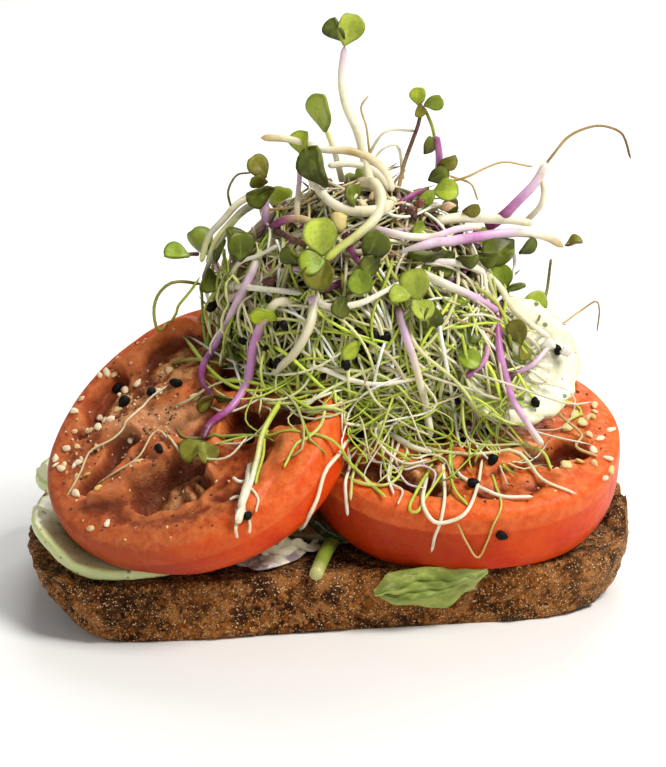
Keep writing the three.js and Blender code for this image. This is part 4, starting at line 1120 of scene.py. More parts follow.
# Stems in full view: points of the picture from the rooted end, radius in mm, colours along the stem.
# Grey along a stem is painted shade on its white.
STEMS = [
    ([(372, 190), (366, 165), (357, 130), (346, 103), (341, 76), (345, 45)], 1.1,
     "cream cream white white lilac"),
    ([(342, 180), (335, 152), (327, 130)], 0.8, "cream white pale"),
    ([(296, 224), (297, 205), (299, 182), (301, 156)], 0.75, "cream cream lilac pink"),
    ([(395, 200), (378, 211), (350, 210), (331, 202), (314, 184), (302, 162)], 1.3,
     "cream cream white cream"),
    ([(358, 184), (374, 186), (380, 200), (374, 220), (356, 236), (338, 249), (325, 261)], 1.5,
     "cream cream cream pale lime"),
    ([(392, 192), (384, 172), (370, 158), (348, 151), (322, 149), (292, 140), (262, 138)], 1.15,
     "cream cream straw white cream straw"),
    ([(390, 190), (372, 169), (352, 164), (328, 166)], 1.1, "cream white white"),
    ([(264, 226), (266, 205), (268, 188)], 0.85, "purple lilac pink"),
    ([(268, 230), (288, 220), (306, 220), (322, 230)], 1.0, "wine purple straw cream"),
    ([(270, 226), (290, 238), (308, 246)], 0.8, "wine wine brown"),
    ([(343, 240), (353, 254), (363, 268)], 0.95, "wine purple wine"),
    ([(372, 229), (400, 235), (428, 237), (452, 231), (482, 226)], 1.0, "lilac white lilac white"),
    ([(398, 254), (430, 244), (465, 240), (500, 233), (527, 233), (547, 238), (563, 248)], 1.25,
     "grey lilac lilac pink lilac white straw"),
    ([(436, 220), (470, 218), (505, 219), (534, 224)], 1.2, "cream white cream"),
    ([(486, 226), (505, 213), (519, 200), (537, 180), (546, 162)], 1.2, "purple purple pink lilac white"),
    ([(528, 220), (541, 205), (544, 190), (541, 176)], 0.8, "white white cream"),
    ([(440, 176), (439, 152), (436, 136)], 0.95, "lilac pink purple"),
    ([(436, 140), (431, 124), (424, 108)], 0.5, "lime olive"),
    ([(398, 192), (404, 165), (412, 142), (418, 125), (421, 110)], 0.5, "straw brown wine"),
    ([(392, 208), (410, 197), (430, 188)], 0.75, "wine purple brown"),
    ([(402, 222), (403, 204)], 0.85, "wine wine"),
    ([(418, 262), (450, 262), (475, 268), (497, 283), (512, 307), (532, 325), (550, 338)], 0.95,
     "lilac white white cream white"),
    ([(414, 268), (443, 283), (470, 295), (499, 312)], 1.1, "white white lilac pink"),
    ([(503, 300), (498, 325), (501, 355), (509, 388), (524, 418), (543, 447)], 1.2,
     "wine purple pink pink lilac white"),
    ([(482, 314), (488, 342), (484, 362), (466, 378)], 1.0, "brown straw pink purple"),
    ([(502, 379), (530, 366), (548, 348), (562, 336)], 0.6, "purple lilac white"),
    ([(397, 304), (403, 327), (412, 353), (420, 385), (426, 410), (431, 438)], 1.2,
     "wine lilac cream white cream"),
    ([(262, 248), (248, 280), (232, 312), (216, 344), (203, 368), (203, 385), (214, 397)], 1.1,
     "grass lilac lilac lilac pink purple wine"),
    ([(300, 301), (277, 302), (268, 313), (254, 343), (247, 380), (230, 407), (210, 423), (202, 441)], 1.05,
     "cream cream pink pink pink purple wine"),
    ([(316, 296), (309, 325), (296, 350), (273, 375)], 1.5, "grey cream cream grey"),
    ([(226, 284), (240, 263), (258, 256), (278, 246)], 0.55, "cream white grey"),
    ([(222, 284), (250, 288), (274, 290), (302, 293)], 0.85, "grey white grey"),
    ([(302, 294), (330, 306), (358, 304), (383, 293), (410, 276), (422, 264)], 0.75,
     "grey white white cream"),
    ([(262, 190), (240, 202), (224, 220), (208, 238), (201, 262)], 0.85, "grey cream grey pale"),
    ([(268, 197), (246, 208), (230, 224), (215, 242), (207, 264)], 0.75, "cream grey pale grey"),
    ([(256, 203), (240, 216), (227, 232), (213, 254), (203, 280)], 0.65, "grey pale grey olive"),
    ([(290, 361), (323, 370), (350, 380), (380, 384), (420, 377)], 0.65, "cream white white cream"),
    ([(350, 415), (377, 427), (413, 447), (432, 452)], 0.75, "cream white cream"),
    ([(290, 392), (272, 415), (262, 437), (254, 470), (246, 500), (236, 520)], 0.85,
     "lime lime pale white white"),
]
REAR_STEMS = [
    ([(-10, 6, 58), (-22, 19, 62), (-26, 21, 68)], 1.1, "cream lilac pink"),
    ([(20, 8, 54), (33, 20, 58), (37, 21, 65)], 1.1, "cream pink purple"),
    ([(3, 4, 66), (2, 20, 70), (6, 25, 75)], 1.1, "cream white lilac"),
]

# Threads in full view: points of the picture, radius, colours.
THREADS = [
    ([(545, 165), (553, 153), (566, 138), (583, 129), (603, 126), (622, 134), (631, 160)], 0.36,
     "straw brown"),
    ([(552, 257), (547, 287), (538, 320)], 0.35, "olive"),
    ([(548, 334), (577, 313), (597, 302), (600, 312), (597, 333)], 0.28, "olive straw olive"),
    ([(440, 182), (467, 175), (487, 168), (507, 162), (533, 165)], 0.32, "straw"),
    ([(450, 174), (470, 183), (477, 200)], 0.3, "straw"),
    ([(232, 212), (229, 190), (238, 174), (252, 172)], 0.3, "olive"),
    ([(202, 283), (170, 283), (153, 307), (155, 327), (170, 325), (183, 300), (200, 276)], 0.38,
     "olive lime"),
    ([(258, 208), (295, 207), (315, 197), (345, 185), (365, 177), (380, 187), (395, 207)], 0.34, "straw"),
    ([(300, 214), (330, 198), (352, 187), (370, 176)], 0.34, "straw"),
    ([(372, 176), (384, 192), (398, 214)], 0.34, "brown straw"),
    ([(354, 186), (350, 196), (362, 202), (373, 196), (366, 186)], 0.4, "cream"),
    ([(366, 160), (387, 132), (415, 131)], 0.45, "white"),
    ([(372, 165), (367, 130), (362, 108), (370, 97)], 0.3, "straw"),
    ([(404, 178), (396, 146), (383, 150), (372, 164)], 0.4, "white"),
    ([(418, 298), (437, 309), (450, 318), (437, 337)], 0.42, "brown"),
    ([(228, 310), (263, 318), (300, 320), (340, 331)], 0.45, "pale"),
    ([(250, 331), (258, 358), (272, 379)], 0.5, "cream"),
    ([(360, 450), (383, 407), (405, 356)], 0.55, "lime white"),
    ([(388, 402), (403, 380), (419, 364)], 0.45, "white"),
    ([(272, 378), (307, 387), (337, 377), (354, 358)], 0.45, "lime"),
    ([(262, 388), (297, 400), (324, 390)], 0.42, "lime"),
    ([(168, 365), (193, 360), (213, 363), (243, 367), (264, 350)], 0.4, "olive lime"),
    ([(174, 427), (187, 440), (217, 437), (267, 437), (293, 433), (330, 440), (356, 472)], 0.4,
     "olive lime"),
    ([(428, 470), (424, 509), (436, 522), (450, 521), (464, 513), (478, 486), (482, 460)], 0.5,
     "white cream"),
    ([(443, 468), (444, 503), (441, 522), (434, 537), (430, 551)], 0.45, "white cream"),
    ([(436, 460), (416, 492), (410, 511), (417, 512), (426, 497), (446, 470)], 0.42, "lime"),
    ([(336, 450), (363, 476), (386, 499)], 0.45, "lime"),
    ([(340, 474), (359, 484), (384, 486), (397, 480), (404, 455)], 0.42, "lime pale"),
    ([(395, 436), (436, 451), (464, 456), (503, 454), (522, 458), (543, 481), (577, 494)], 0.5,
     "pale cream"),
    ([(450, 474), (483, 490), (503, 497), (533, 498)], 0.48, "white"),
    ([(489, 470), (501, 507), (493, 524), (487, 543), (478, 558), (466, 541), (458, 522)], 0.3,
     "lime straw"),
    ([(450, 462), (455, 492), (468, 506)], 0.4, "lime"),
    ([(342, 436), (350, 465), (346, 484), (349, 515)], 0.45, "white"),
    ([(540, 398), (571, 404), (581, 414), (566, 422)], 0.38, "lime"),
    ([(556, 408), (581, 436), (576, 447), (597, 458)], 0.38, "straw"),
    ([(59, 505), (68, 493), (80, 474), (92, 452), (113, 440), (135, 418), (152, 399), (170, 388)], 0.3,
     "straw cream"),
    ([(96, 486), (115, 473), (139, 458), (157, 431), (182, 455), (194, 459), (227, 459), (250, 438)], 0.3,
     "straw cream"),
    ([(268, 430), (264, 447), (256, 487)], 0.4, "lime"),
    ([(350, 432), (340, 452), (325, 471), (317, 499), (309, 516), (296, 533)], 0.5, "cream white"),
    ([(384, 424), (365, 450), (354, 476), (352, 500)], 0.45, "lime pale"),
    ([(330, 404), (318, 430), (296, 447), (284, 470)], 0.42, "pale lime"),
    ([(410, 424), (396, 452), (388, 474), (394, 496)], 0.42, "white"),
    ([(500, 440), (520, 446), (541, 455), (552, 470)], 0.4, "pale lime"),
    ([(200, 284), (202, 310), (207, 346)], 0.45, "leaf grass"),
    ([(214, 290), (212, 318), (208, 346)], 0.45, "grass leaf"),
    ([(257, 196), (262, 215), (271, 232), (268, 252)], 0.35, "cream"),
    ([(226, 272), (238, 283), (240, 304), (234, 330)], 0.4, "cream lime"),
    ([(197, 253), (188, 254)], 0.55, "wine brown"),
    ([(252, 466), (249, 488), (244, 508), (238, 524)], 1.1, "cream white cream"),
    ([(252, 480), (240, 482), (233, 478)], 0.4, "white"),
    ([(247, 500), (238, 497), (231, 500)], 0.4, "white cream"),
    ([(242, 516), (236, 528), (237, 538)], 0.4, "white cream"),
    ([(246, 514), (250, 524), (249, 533)], 0.35, "cream"),
    ([(250, 494), (258, 500), (256, 512)], 0.35, "cream"),
    ([(380, 470), (392, 486), (402, 492), (398, 506)], 0.32, "lilac cream"),
    ([(392, 462), (405, 470), (420, 466), (434, 474), (430, 492)], 0.32, "cream lilac"),
    ([(360, 446), (372, 462), (392, 468), (408, 486), (424, 490)], 0.34, "white lilac"),
    ([(400, 448), (414, 458), (430, 456), (446, 462), (452, 478)], 0.34, "cream"),
    ([(270, 402), (300, 410), (330, 408), (356, 420)], 0.42, "lime pale"),
    ([(252, 396), (276, 404), (306, 402), (340, 396), (372, 404)], 0.4, "pale lime"),
    ([(318, 414), (346, 424), (384, 428), (420, 424), (452, 430)], 0.45, "white cream"),
    ([(352, 300), (372, 318), (384, 342), (388, 372)], 0.5, "white cream"),
    ([(300, 330), (318, 352), (332, 380), (336, 404)], 0.5, "cream lime"),
    ([(440, 340), (446, 366), (440, 396), (448, 420)], 0.5, "white pale"),
    ([(468, 330), (460, 360), (470, 390), (466, 414)], 0.45, "lime white"),
    ([(420, 316), (436, 346), (458, 366), (484, 380)], 0.5, "cream white"),
    ([(330, 350), (352, 340), (378, 352), (402, 346)], 0.45, "pale cream"),
]

# Seed leaves: base and tip in the picture, colour, how far the face turns from the viewer.
LEAVES = [
    ((344, 46), (350, 14), "fresh", 0.3), ((345, 42), (334, 18), "shade_green", 0.9),
    ((326, 132), (322, 94), "fresh", 0.95), ((303, 157), (305, 131), "lime", 0.6),
    ((326, 188), (312, 147), "shade_green", 1.0), ((266, 178), (252, 157), "olive", 0.3),
    ((268, 182), (250, 180), "olive", 0.8), ((323, 256), (320, 218), "fresh", 0.1),
    ((326, 262), (299, 264), "leaf", 0.3), ((327, 260), (317, 291), "olive", 0.3),
    ((356, 268), (364, 293), "leaf", 0.2), ((365, 258), (380, 231), "shade_green", 0.3),
    ((380, 256), (362, 272), "shade_green", 0.5), ((418, 302), (412, 271), "fresh", 0.4),
    ((412, 294), (390, 300), "fresh", 0.5), ((412, 300), (428, 319), "fresh", 0.4),
    ((216, 262), (219, 239), "shade_green", 0.8), ((210, 268), (206, 292), "shade_green", 0.8),
    ((190, 256), (164, 254), "leaf", 0.8), ((240, 262), (240, 232), "shade_green", 0.3),
    ((232, 260), (231, 228), "shade_green", 1.1), ((274, 188), (246, 198), "shade_green", 0.9),
    ((419, 106), (418, 88), "lime", 0.5), ((421, 103), (418, 117), "olive", 0.5),
    ((424, 106), (441, 97), "leaf", 0.7), ((424, 154), (434, 139), "shade_green", 0.8),
    ((437, 165), (457, 161), "olive", 0.8), ((428, 180), (448, 171), "shade_green", 0.5),
    ((433, 192), (458, 190), "lime", 0.1), ((434, 190), (422, 204), "leaf", 0.5),
    ((462, 212), (480, 209), "olive", 0.8), ((440, 254), (408, 257), "shade_green", 1.0),
    ((454, 252), (430, 272), "shade_green", 0.5), ((456, 258), (478, 260), "shade_green", 1.0),
    ((476, 256), (498, 258), "shade_green", 0.7), ((514, 240), (486, 264), "shade_green", 0.3),
    ((519, 254), (536, 240), "shade_green", 0.9), ((507, 288), (500, 264), "leaf", 0.3),
    ((522, 344), (514, 320), "olive", 0.5), ((522, 343), (524, 361), "olive", 0.6),
    ((300, 264), (284, 248), "shade_green", 0.7), ((345, 296), (336, 316), "shade_green", 0.6),
    ((214, 396), (233, 402), "shade_green", 1.0), ((214, 396), (196, 408), "brown", 0.9),
    ((202, 441), (184, 459), "olive", 0.6), ((202, 441), (208, 464), "olive", 0.4),
    ((565, 246), (582, 240), "olive", 1.1), ((470, 300), (452, 306), "leaf", 0.9),
]

# Black seeds: points of the picture.
SEEDS = [
    (212, 306), (284, 326), (243, 340), (267, 347), (233, 385), (254, 377), (277, 364), (365, 344),
    (374, 337), (386, 338), (346, 365), (374, 367), (245, 418), (229, 437), (248, 434), (177, 385),
    (152, 393), (479, 366), (427, 454), (421, 426), (442, 433), (462, 433), (485, 429), (535, 402),
    (492, 466), (474, 484), (502, 536), (248, 516), (165, 460), (97, 492), (112, 379), (124, 402),
    (430, 440), (558, 350), (456, 400),
]


ROOT_DEPTH = 3.5  # how far the rooted end of a drawn strand goes into the heap, mm
ROOT_STEPS = 4  # points at the rooted end that may lie inside a cut face
FINE = 0.46  # drawn strands of a smaller radius waver more


def drawn(lines, steps, over):
    """Paths, radii and colours of strands given by points of the picture, or of the frame."""
    paths = []
    radii = []
    tones = []
    along = np.linspace(0, 1, steps)
    for line, radius, names in lines:
        points = np.array(line, float)
        if points.shape[1] == 2:
            points = seen(points, np.full(len(points), radius + over))
            points[0] += ROOT_DEPTH * AHEAD
            points = np.vstack([points[:1], clear(points[1:], radius, radius)])
        path = spline(points, steps)
        waver = 0.3 * radius + (0.3 if radius < FINE else 0)
        path = path + waver * np.stack([noise(path, 7, 90 + k) for k in range(3)], axis=1)
        for tomato in TOMATOES.values():
            path[ROOT_STEPS:] = rest_on_face(tomato, path[ROOT_STEPS:], 0.7 * radius, only_lift=True)
        paths.append(path)
        swell = 1 + 0.14 * noise(path, 9, 80) - 0.25 * along
        radii.append(radius * swell * np.sqrt(smooth(0, 0.03, along) * smooth(1, 0.96, along) + 0.02))
        tones.append(fade(names.split(), steps))
    return np.array(paths), np.array(radii), np.array(tones)


def drawn_strands(name, material, lines, steps, over, sides, flat=1.0):
    """One piece of drawn strands, laid over what carries them."""
    points, faces, colours = tubes(*drawn(lines, steps, over), sides, flat)
    heap_piece(name, points, faces, material, colours=colours)


def heap_normal(p):
    """The way out of the heap at points in or near it."""
    x, y, rx, ry = level(p[..., 2])
    share = np.maximum(heap_share(p), 0.05)
    rise = np.array([0, 0, 1.5])
    climb = (heap_share(p + rise) - heap_share(p - rise)) / 3
    return unit(np.stack([(p[..., 0] - x) / rx**2 / share, (p[..., 1] - y) / ry**2 / share, climb], axis=-1))


SHOULDER = 5  # the row of HEAP from which it narrows to the crown
BESIDE_CROWN = 200  # a height that never limits, for points beside the crown


def crown_height(p):
    """Height of the heap's crown at the x and y of points."""
    _, x, y, rx, ry = HEAP[SHOULDER]
    share = np.hypot((p[..., 0] - x) / rx, (p[..., 1] - y) / ry)
    crown = HEAP[:SHOULDER - 1:-1]
    return np.where(share < 1, np.interp(share, crown[:, 3] / rx, crown[:, 0]), BESIDE_CROWN)


def settle(p, out):
    """Draws points to a distance off the heap's surface, and under its crown."""
    x, y, rx, ry = level(p[..., 2])
    wanted = 1 + out / ((rx + ry) / 2)
    k = np.clip(wanted / np.maximum(heap_share(p), 0.05), 0.75, 1.3)
    q = np.stack([x + (p[..., 0] - x) * k, y + (p[..., 1] - y) * k, p[..., 2]], axis=-1)
    q[..., 2] = np.minimum(q[..., 2], crown_height(q) + 1 + 0.8 * out)
    return q


def blocked(p):
    """Whether points are too near to a tomato half or the bread."""
    return in_tomatoes(p, 0.5) | (p[..., 2] < BREAD_TOP + 2)


MOST_INSIDE = 0.25


def free(paths):
    """Which strands run at most a small share of their length inside a tomato half."""
    return in_tomatoes(paths).mean(axis=1) < MOST_INSIDE


def wander(start, way, outs, stride, swing):
    """Paths that follow the heap's surface from a start, turning by swing at each step."""
    p = start
    path = [p]
    for k in range(1, outs.shape[1]):
        normal = heap_normal(p)
        way = unit(way - (way * normal).sum(-1, keepdims=True) * normal)
        turn = swing[:, k, None]
        way = way * np.cos(turn) + np.cross(normal, way) * np.sin(turn)
        ahead = settle(p + stride[:, None] * way, outs[:, k])
        way[:, 2] = np.where(blocked(ahead), np.abs(way[:, 2]) + 0.3, way[:, 2])
        p = settle(p + stride[:, None] * unit(way), outs[:, k])
        path.append(p)
    return np.stack(path, axis=1)


FLARES = 0.008  # share of the strand ends that stand off the heap


def surface_strands(count, seed, zone, length, out, slope, curl=0.03, hooks=0.15, steps=17):
    """Paths of strands that wind over the heap, and how far out they run.

    Zone picks where they start, out is in mm from the heap's surface, slope says how steeply they stand,
    curl and hooks how much they bend.
    """
    rng = np.random.default_rng(seed)
    angle = rng.uniform(0, TAU, count * 8)
    rise = rng.uniform(0.03, 0.92, count * 8)
    keep = rng.random(count * 8) < zone(angle, rise)
    angle = angle[keep][:count]
    rise = rise[keep][:count]
    count = len(angle)
    each = (count, 1)
    depth = rng.uniform(*out, each)
    middle = heap_point(angle, rise, depth[:, 0])
    normal = heap_normal(middle)
    level_way = unit(np.cross([0.0, 0.0, 1.0], normal))
    climb_way = np.cross(normal, level_way)
    tilt = rng.normal(slope[0], slope[1], count)[:, None]
    way = np.cos(tilt) * level_way + np.sin(tilt) * climb_way
    half = (steps + 1) // 2
    stride = rng.uniform(*length, count) / (steps - 1)
    t = np.linspace(0, 1, half)[None]
    halves = []
    runs = []
    for side in (1, -1):
        ripple = rng.uniform(0.6, 2.2, each) * np.sin(rng.uniform(2, 5, each) * t)
        flares = rng.random(each) < FLARES
        sink = np.where(flares, rng.uniform(-3.5, -1, each), rng.uniform(3, 6, each))
        outs = depth + ripple * rng.choice([-1, 1], each) - sink * smooth(0.35, 1, t)
        swing = rng.normal(0, curl, each) + 0.035 * np.sin(6 * t + rng.uniform(0, TAU, each))
        hook = (rng.random(each) < hooks) * rng.choice([-0.2, 0.2], each) * smooth(0.4, 0.7, t)
        swing = (swing + hook) * stride[:, None] * side
        halves.append(wander(middle, side * way, outs, stride, swing))
        runs.append(outs)
    paths = np.concatenate([halves[1][:, :0:-1], halves[0]], axis=1)
    depths = np.concatenate([runs[1][:, :0:-1], runs[0]], axis=1)
    fit = free(paths)
    return clear(paths[fit], 0.5, CORE), depths[fit], rng


STRAND_SIDES = 5
SHADE_TINT = np.array([1, 1.1, 1.55])  # shade takes the blue out of strands first


def lay_strands(name, material, paths, depths, rng, radius, names, weights, sides):
    """One piece of many thin strands of like kind, with painted shade where they run deep."""
    count, steps = paths.shape[:2]
    along = np.linspace(0, 1, steps)[None]
    thick = rng.uniform(*radius, count)[:, None]
    radii = thick * (1 - 0.35 * along) * np.sqrt(smooth(0, 0.1, along) * smooth(1, 0.9, along) + 0.02)
    tones = np.array([fade(names[k], steps) for k in rng.choice(len(names), count, p=weights)])
    light = rng.uniform(0.5, 1.15, count)[:, None] * (0.02 + 1.12 * smooth(-3.7, 1.2, depths))
    tones = tones * light[..., None] ** SHADE_TINT
    points, faces, colours = tubes(paths, radii, tones, sides)
    heap_piece(name, points, faces, material, colours=np.clip(colours, 0, 1))


def strand_heap(name, material, count, seed, radius, names, weights, sides=STRAND_SIDES, **where):
    """One piece of strands that wind over the whole heap."""
    paths, depths, rng = surface_strands(count, seed, **where)
    lay_strands(name, material, paths, depths, rng, radius, names, weights, sides)


BIGGEST_JUMP = 7  # mm that a strand may go nearer or farther between two of its points
PROUDEST = 3.5  # mm that a strand may stand over the heap's crown


def picture_strands(name, material, count, seed, zone, lean, length, lift, radius, names, weights,
                    curl=0.008, steps=15):
    """Strands laid over the heap and the cut faces as the picture shows them.

    Zone is the part of the picture that holds their middles, lean their slope there (0 level, 1.57 upright),
    length is in points of the picture and lift in mm.
    """
    rng = np.random.default_rng(seed)
    each = (count, 1)
    middle = np.column_stack([rng.uniform(*zone[0], count), rng.uniform(*zone[1], count)])
    t = np.linspace(-0.5, 0.5, steps)[None]
    s = rng.uniform(*length, each) * t
    heading = rng.normal(*lean, each) + rng.normal(0, curl, each) * s
    heading = heading + 0.45 * np.sin(rng.uniform(2.5, 7, each) * t + rng.uniform(0, TAU, each))
    step = np.diff(s, axis=1, prepend=s[:, :1])
    line = np.cumsum(np.stack([np.cos(heading) * step, np.sin(heading) * step], axis=2), axis=1)
    line = line - line[:, steps // 2, None] + middle[:, None]
    way, reach = sight(line)
    reach = reach.reshape(count, steps)
    padded = np.pad(reach, ((0, 0), (2, 2)), mode="edge")
    eased = sum(padded[:, k:k + steps] for k in range(5)) / 5
    weave = rng.uniform(0.3, 1.3, each) * np.sin(rng.uniform(5, 12, each) * t + rng.uniform(0, TAU, each))
    sink = rng.uniform(3.5, 7, (count, 2))
    ends = sink[:, :1] * smooth(0.3, 0.5, t) + sink[:, 1:] * smooth(-0.3, -0.5, t)
    over = rng.uniform(*lift, each) + weave - ends
    reach = np.minimum(eased, reach + 1) - over
    paths = EYE + way.reshape(count, steps, 3) * reach[..., None]
    jump = np.abs(np.diff(reach, axis=1)).max(axis=1)
    proud = (paths[..., 2] - crown_height(paths)).max(axis=1)
    fit = free(paths) & (jump < BIGGEST_JUMP) & (proud < PROUDEST)
    paths = clear(paths[fit], 0.45, CORE)
    lay_strands(name, material, paths, over[fit], rng, radius, names, weights, STRAND_SIDES)


HANGING_KINDS = [["cream", "white"], ["lime", "pale"], ["pale", "cream"], ["grass", "lime"],
                 ["lime", "lime"]]


def hanging_threads(material, count, seed):
    """Fine threads that come out of the heap's foot and lie over the cut faces."""
    rng = np.random.default_rng(seed)
    steps = 20
    paths = []
    radii = []
    tones = []
    along = np.linspace(0, 1, steps)
    for _ in range(count):
        x = rng.normal(12, 16)
        start = np.array([np.clip(x, -20, 36), rng.uniform(-26, -18), rng.uniform(44, 56)])
        reach = rng.uniform(5, 15)
        end = start + np.array([rng.normal(0, 12), -reach, -rng.uniform(4, 12)])
        middle = (start + end) / 2 + np.array([rng.normal(0, 5), rng.normal(-2, 2), rng.uniform(0, 4)])
        hook = end + np.array([rng.normal(0, 6), rng.normal(0, 3), -rng.uniform(0, 4)])
        control = np.array([start, middle, end, hook])
        path = spline(np.vstack([control[:1], clear(control[1:], 0.6, 0.4)]), steps)
        paths.append(path)
        radii.append(rng.uniform(0.2, 0.42) * (1 - 0.4 * along) * np.sqrt(smooth(1, 0.95, along) + 0.03))
        names = HANGING_KINDS[rng.integers(0, len(HANGING_KINDS))]
        tones.append(fade(names, steps) * rng.uniform(0.8, 1.05))
    points, faces, colours = tubes(np.array(paths), np.array(radii), np.array(tones), STRAND_SIDES)
    heap_piece("hanging_threads", points, faces, material, colours=np.clip(colours, 0, 1))


def heap_middle(material):
    """The dark body, painted as shade, that closes the heap behind its strands."""
    sides = 160
    angle = circle(sides)
    rings = []
    for rise in np.linspace(0, 1, 70):
        p = heap_point(angle, np.full(sides, rise), -3.0)
        out = -10.5 - 5 * smooth(0.2, 0, rise) + 2 * fractal(p, 7, 4, 95)
        rings.append(heap_point(angle, np.full(sides, rise), out))
    points, faces = skin_rings(rings, (6, 21, 15), (3, -5, 84))
    heap_piece("heap_middle", points, faces, material)


def leaf_shape(rings=5, count=28):
    """A flat heart-shaped seed leaf of length 1: (along, across) rings from rim to middle."""
    half = [(0, 0.03), (0.12, 0.16), (0.35, 0.38), (0.62, 0.47), (0.86, 0.38), (0.98, 0.19)]
    outline = half + [(0.97, 0.0)] + [(s, -h) for s, h in reversed(half)]
    rim = spline(outline, count)
    middle = np.array([0.48, 0.0])
    return [middle + (rim - middle) * k for k in np.linspace(1, 0.1, rings) ** 0.8], middle


def seed_leaves(name, items, material, seed):
    """Heart-shaped leaves with cup, bend and veins: each item is base, along, up, length and colour name."""
    rng = np.random.default_rng(seed)
    rings, middle = leaf_shape()
    count = len(rings[0])
    flat = np.vstack([*rings, [middle]])
    edge = np.append(np.repeat(np.linspace(0, 1, len(rings)), count), 1)
    size = len(flat)
    quads = ring_faces(len(rings), count)
    i = np.arange(count)
    j = (i + 1) % count
    last = (len(rings) - 1) * count
    cap = np.stack([last + i, last + j, np.full(count, size - 1)], axis=1)
    under_quads = quads[:, ::-1] + size
    under_cap = cap[:, ::-1] + size
    seam = np.stack([i, size + i, size + j, j], axis=1)
    points = []
    veins = []
    colours = []
    for n, (base, along, up, length, colour) in enumerate(items):
        a = unit(along)
        u = unit(np.array(up) - a * np.dot(a, up))
        w = np.cross(u, a)
        cup = rng.uniform(0.0, 0.4)
        bend = rng.uniform(-0.1, 0.3)
        wide = rng.uniform(0.85, 1.05)
        s, h = flat[:, 0], flat[:, 1]
        height = cup * (4 * h * h) - bend * s * s + 0.05 * np.abs(h) ** 0.5 + 0.02 * np.sin(9 * s + n)
        thick = 0.035 + 0.045 * smooth(0, 0.35, edge)
        spot = np.array(base) + length * (s[:, None] * a + wide * h[:, None] * w)
        over = spot + length * (height + thick)[:, None] * u
        below = spot + length * (height - thick)[:, None] * u
        points += [over, below]
        line = smooth(0.03, 0.0, np.abs(h)) * 0.8
        veins += [line, 0.5 * line]
        shade = tone(colour) * rng.uniform(0.85, 1.2)
        rimmed = smooth(0.3, 0, edge)[:, None]
        tip = np.outer(smooth(0.2, 0.9, s), tone("lime") * 0.2) + shade
        tip = tip * (1 - 0.45 * rimmed) + 0.12 * rimmed * tone("wine")
        colours += [tip, 0.75 * tip + 0.08 * tone("pale")]
    offsets = (np.arange(len(items)) * 2 * size)[:, None, None]
    all_quads = np.concatenate([quads, under_quads, seam])
    all_caps = np.concatenate([cap, under_cap])
    made = [(all_quads[None] + offsets).reshape(-1, 4), (all_caps[None] + offsets).reshape(-1, 3)]
    heap_piece(name, np.vstack(points), made, material, {"vein": np.concatenate(veins)},
               np.clip(np.vstack(colours), 0, 1))


def bead_shape(fineness):
    """A ball of radius 1 from a subdivided icosahedron."""
    mesh = bpy.data.meshes.new("bead")
    ball = bmesh.new()
    bmesh.ops.create_icosphere(ball, subdivisions=fineness, radius=1)
    ball.to_mesh(mesh)
    ball.free()
    points = np.array([v.co for v in mesh.vertices])
    faces = np.array([p.vertices for p in mesh.polygons])
    bpy.data.meshes.remove(mesh)
    return points, faces


def beads(name, spots, normals, sizes, material, node, seed, roughness=0.15, colours=None, fineness=2):
    """Seeds, crumbs and flakes: one uneven ball for each spot, flat against what carries it."""
    rng = np.random.default_rng(seed)
    ball, tris = bead_shape(fineness)
    points = []
    tones = []
    for n, (spot, normal) in enumerate(zip(spots, normals)):
        turn = axes(normal)
        spin = rng.uniform(0, TAU)
        sine, cosine = math.sin(spin), math.cos(spin)
        about = np.array([[cosine, -sine, 0], [sine, cosine, 0], [0, 0, 1]])
        size = np.array(sizes[n]) / 2
        shape = ball * (1 + roughness * noise(ball * 1.3 + 7 * n, 1, seed))[:, None]
        shape[:, 0] *= 1 - 0.28 * shape[:, 1]
        points.append((shape * size) @ about.T @ turn.T + spot)
        if colours is not None:
            tones.append(np.repeat([colours[n]], len(ball), axis=0))
    offsets = (np.arange(len(points)) * len(ball))[:, None, None]
    faces = (tris[None] + offsets).reshape(-1, 3)
    make_piece(name, np.vstack(points), [faces], material, node,
               colours=np.vstack(tones) if tones else None)


def green_stem(material):
    """The short cut stem that sticks out of the gap."""
    steps = 30
    path = spline([(-4.4, -31, 16.4), (-7.6, -39.5, 16.2), (-10.4, -47.4, 15.6)], steps)
    radii = np.full(steps, 1.55)
    radii[-1] *= 0.95
    tones = 0.75 * fade(["leaf", "leaf", "grass", "leaf", "pale"], steps)
    points, faces, colours = tubes(path[None], radii[None], tones[None], 16)
    make_piece("green_stem_fine", points, faces, material, "green_stem", colours=colours)


# Where on the heap a group of strands starts: shares by the angle round it and the rise up it.
def facing(angle):
    """1 at the front of the heap, 0.35 at its back."""
    return 0.35 + 0.65 * (0.5 - 0.5 * np.sin(angle))


def everywhere(angle, _):
    """All over the heap."""
    return facing(angle)


def lower(angle, rise):
    """The heap without its crown."""
    return facing(angle) * smooth(0.95, 0.62, rise)


def left_side(angle, rise):
    """The side that faces -X."""
    return facing(angle) * smooth(0.1, -0.5, np.cos(angle)) * smooth(0.98, 0.8, rise)


def right_top(angle, rise):
    """The upper part, less on the left."""
    return facing(angle) * smooth(0.42, 0.62, rise) * (0.35 + 0.65 * smooth(-0.6, 0.3, np.cos(angle)))


def crown(_, rise):
    """Only the crown."""
    return smooth(0.66, 0.84, rise)


GREENS = [["pale", "lime", "grass"], ["lime", "lime"], ["cream", "lime"], ["grass", "leaf"]]
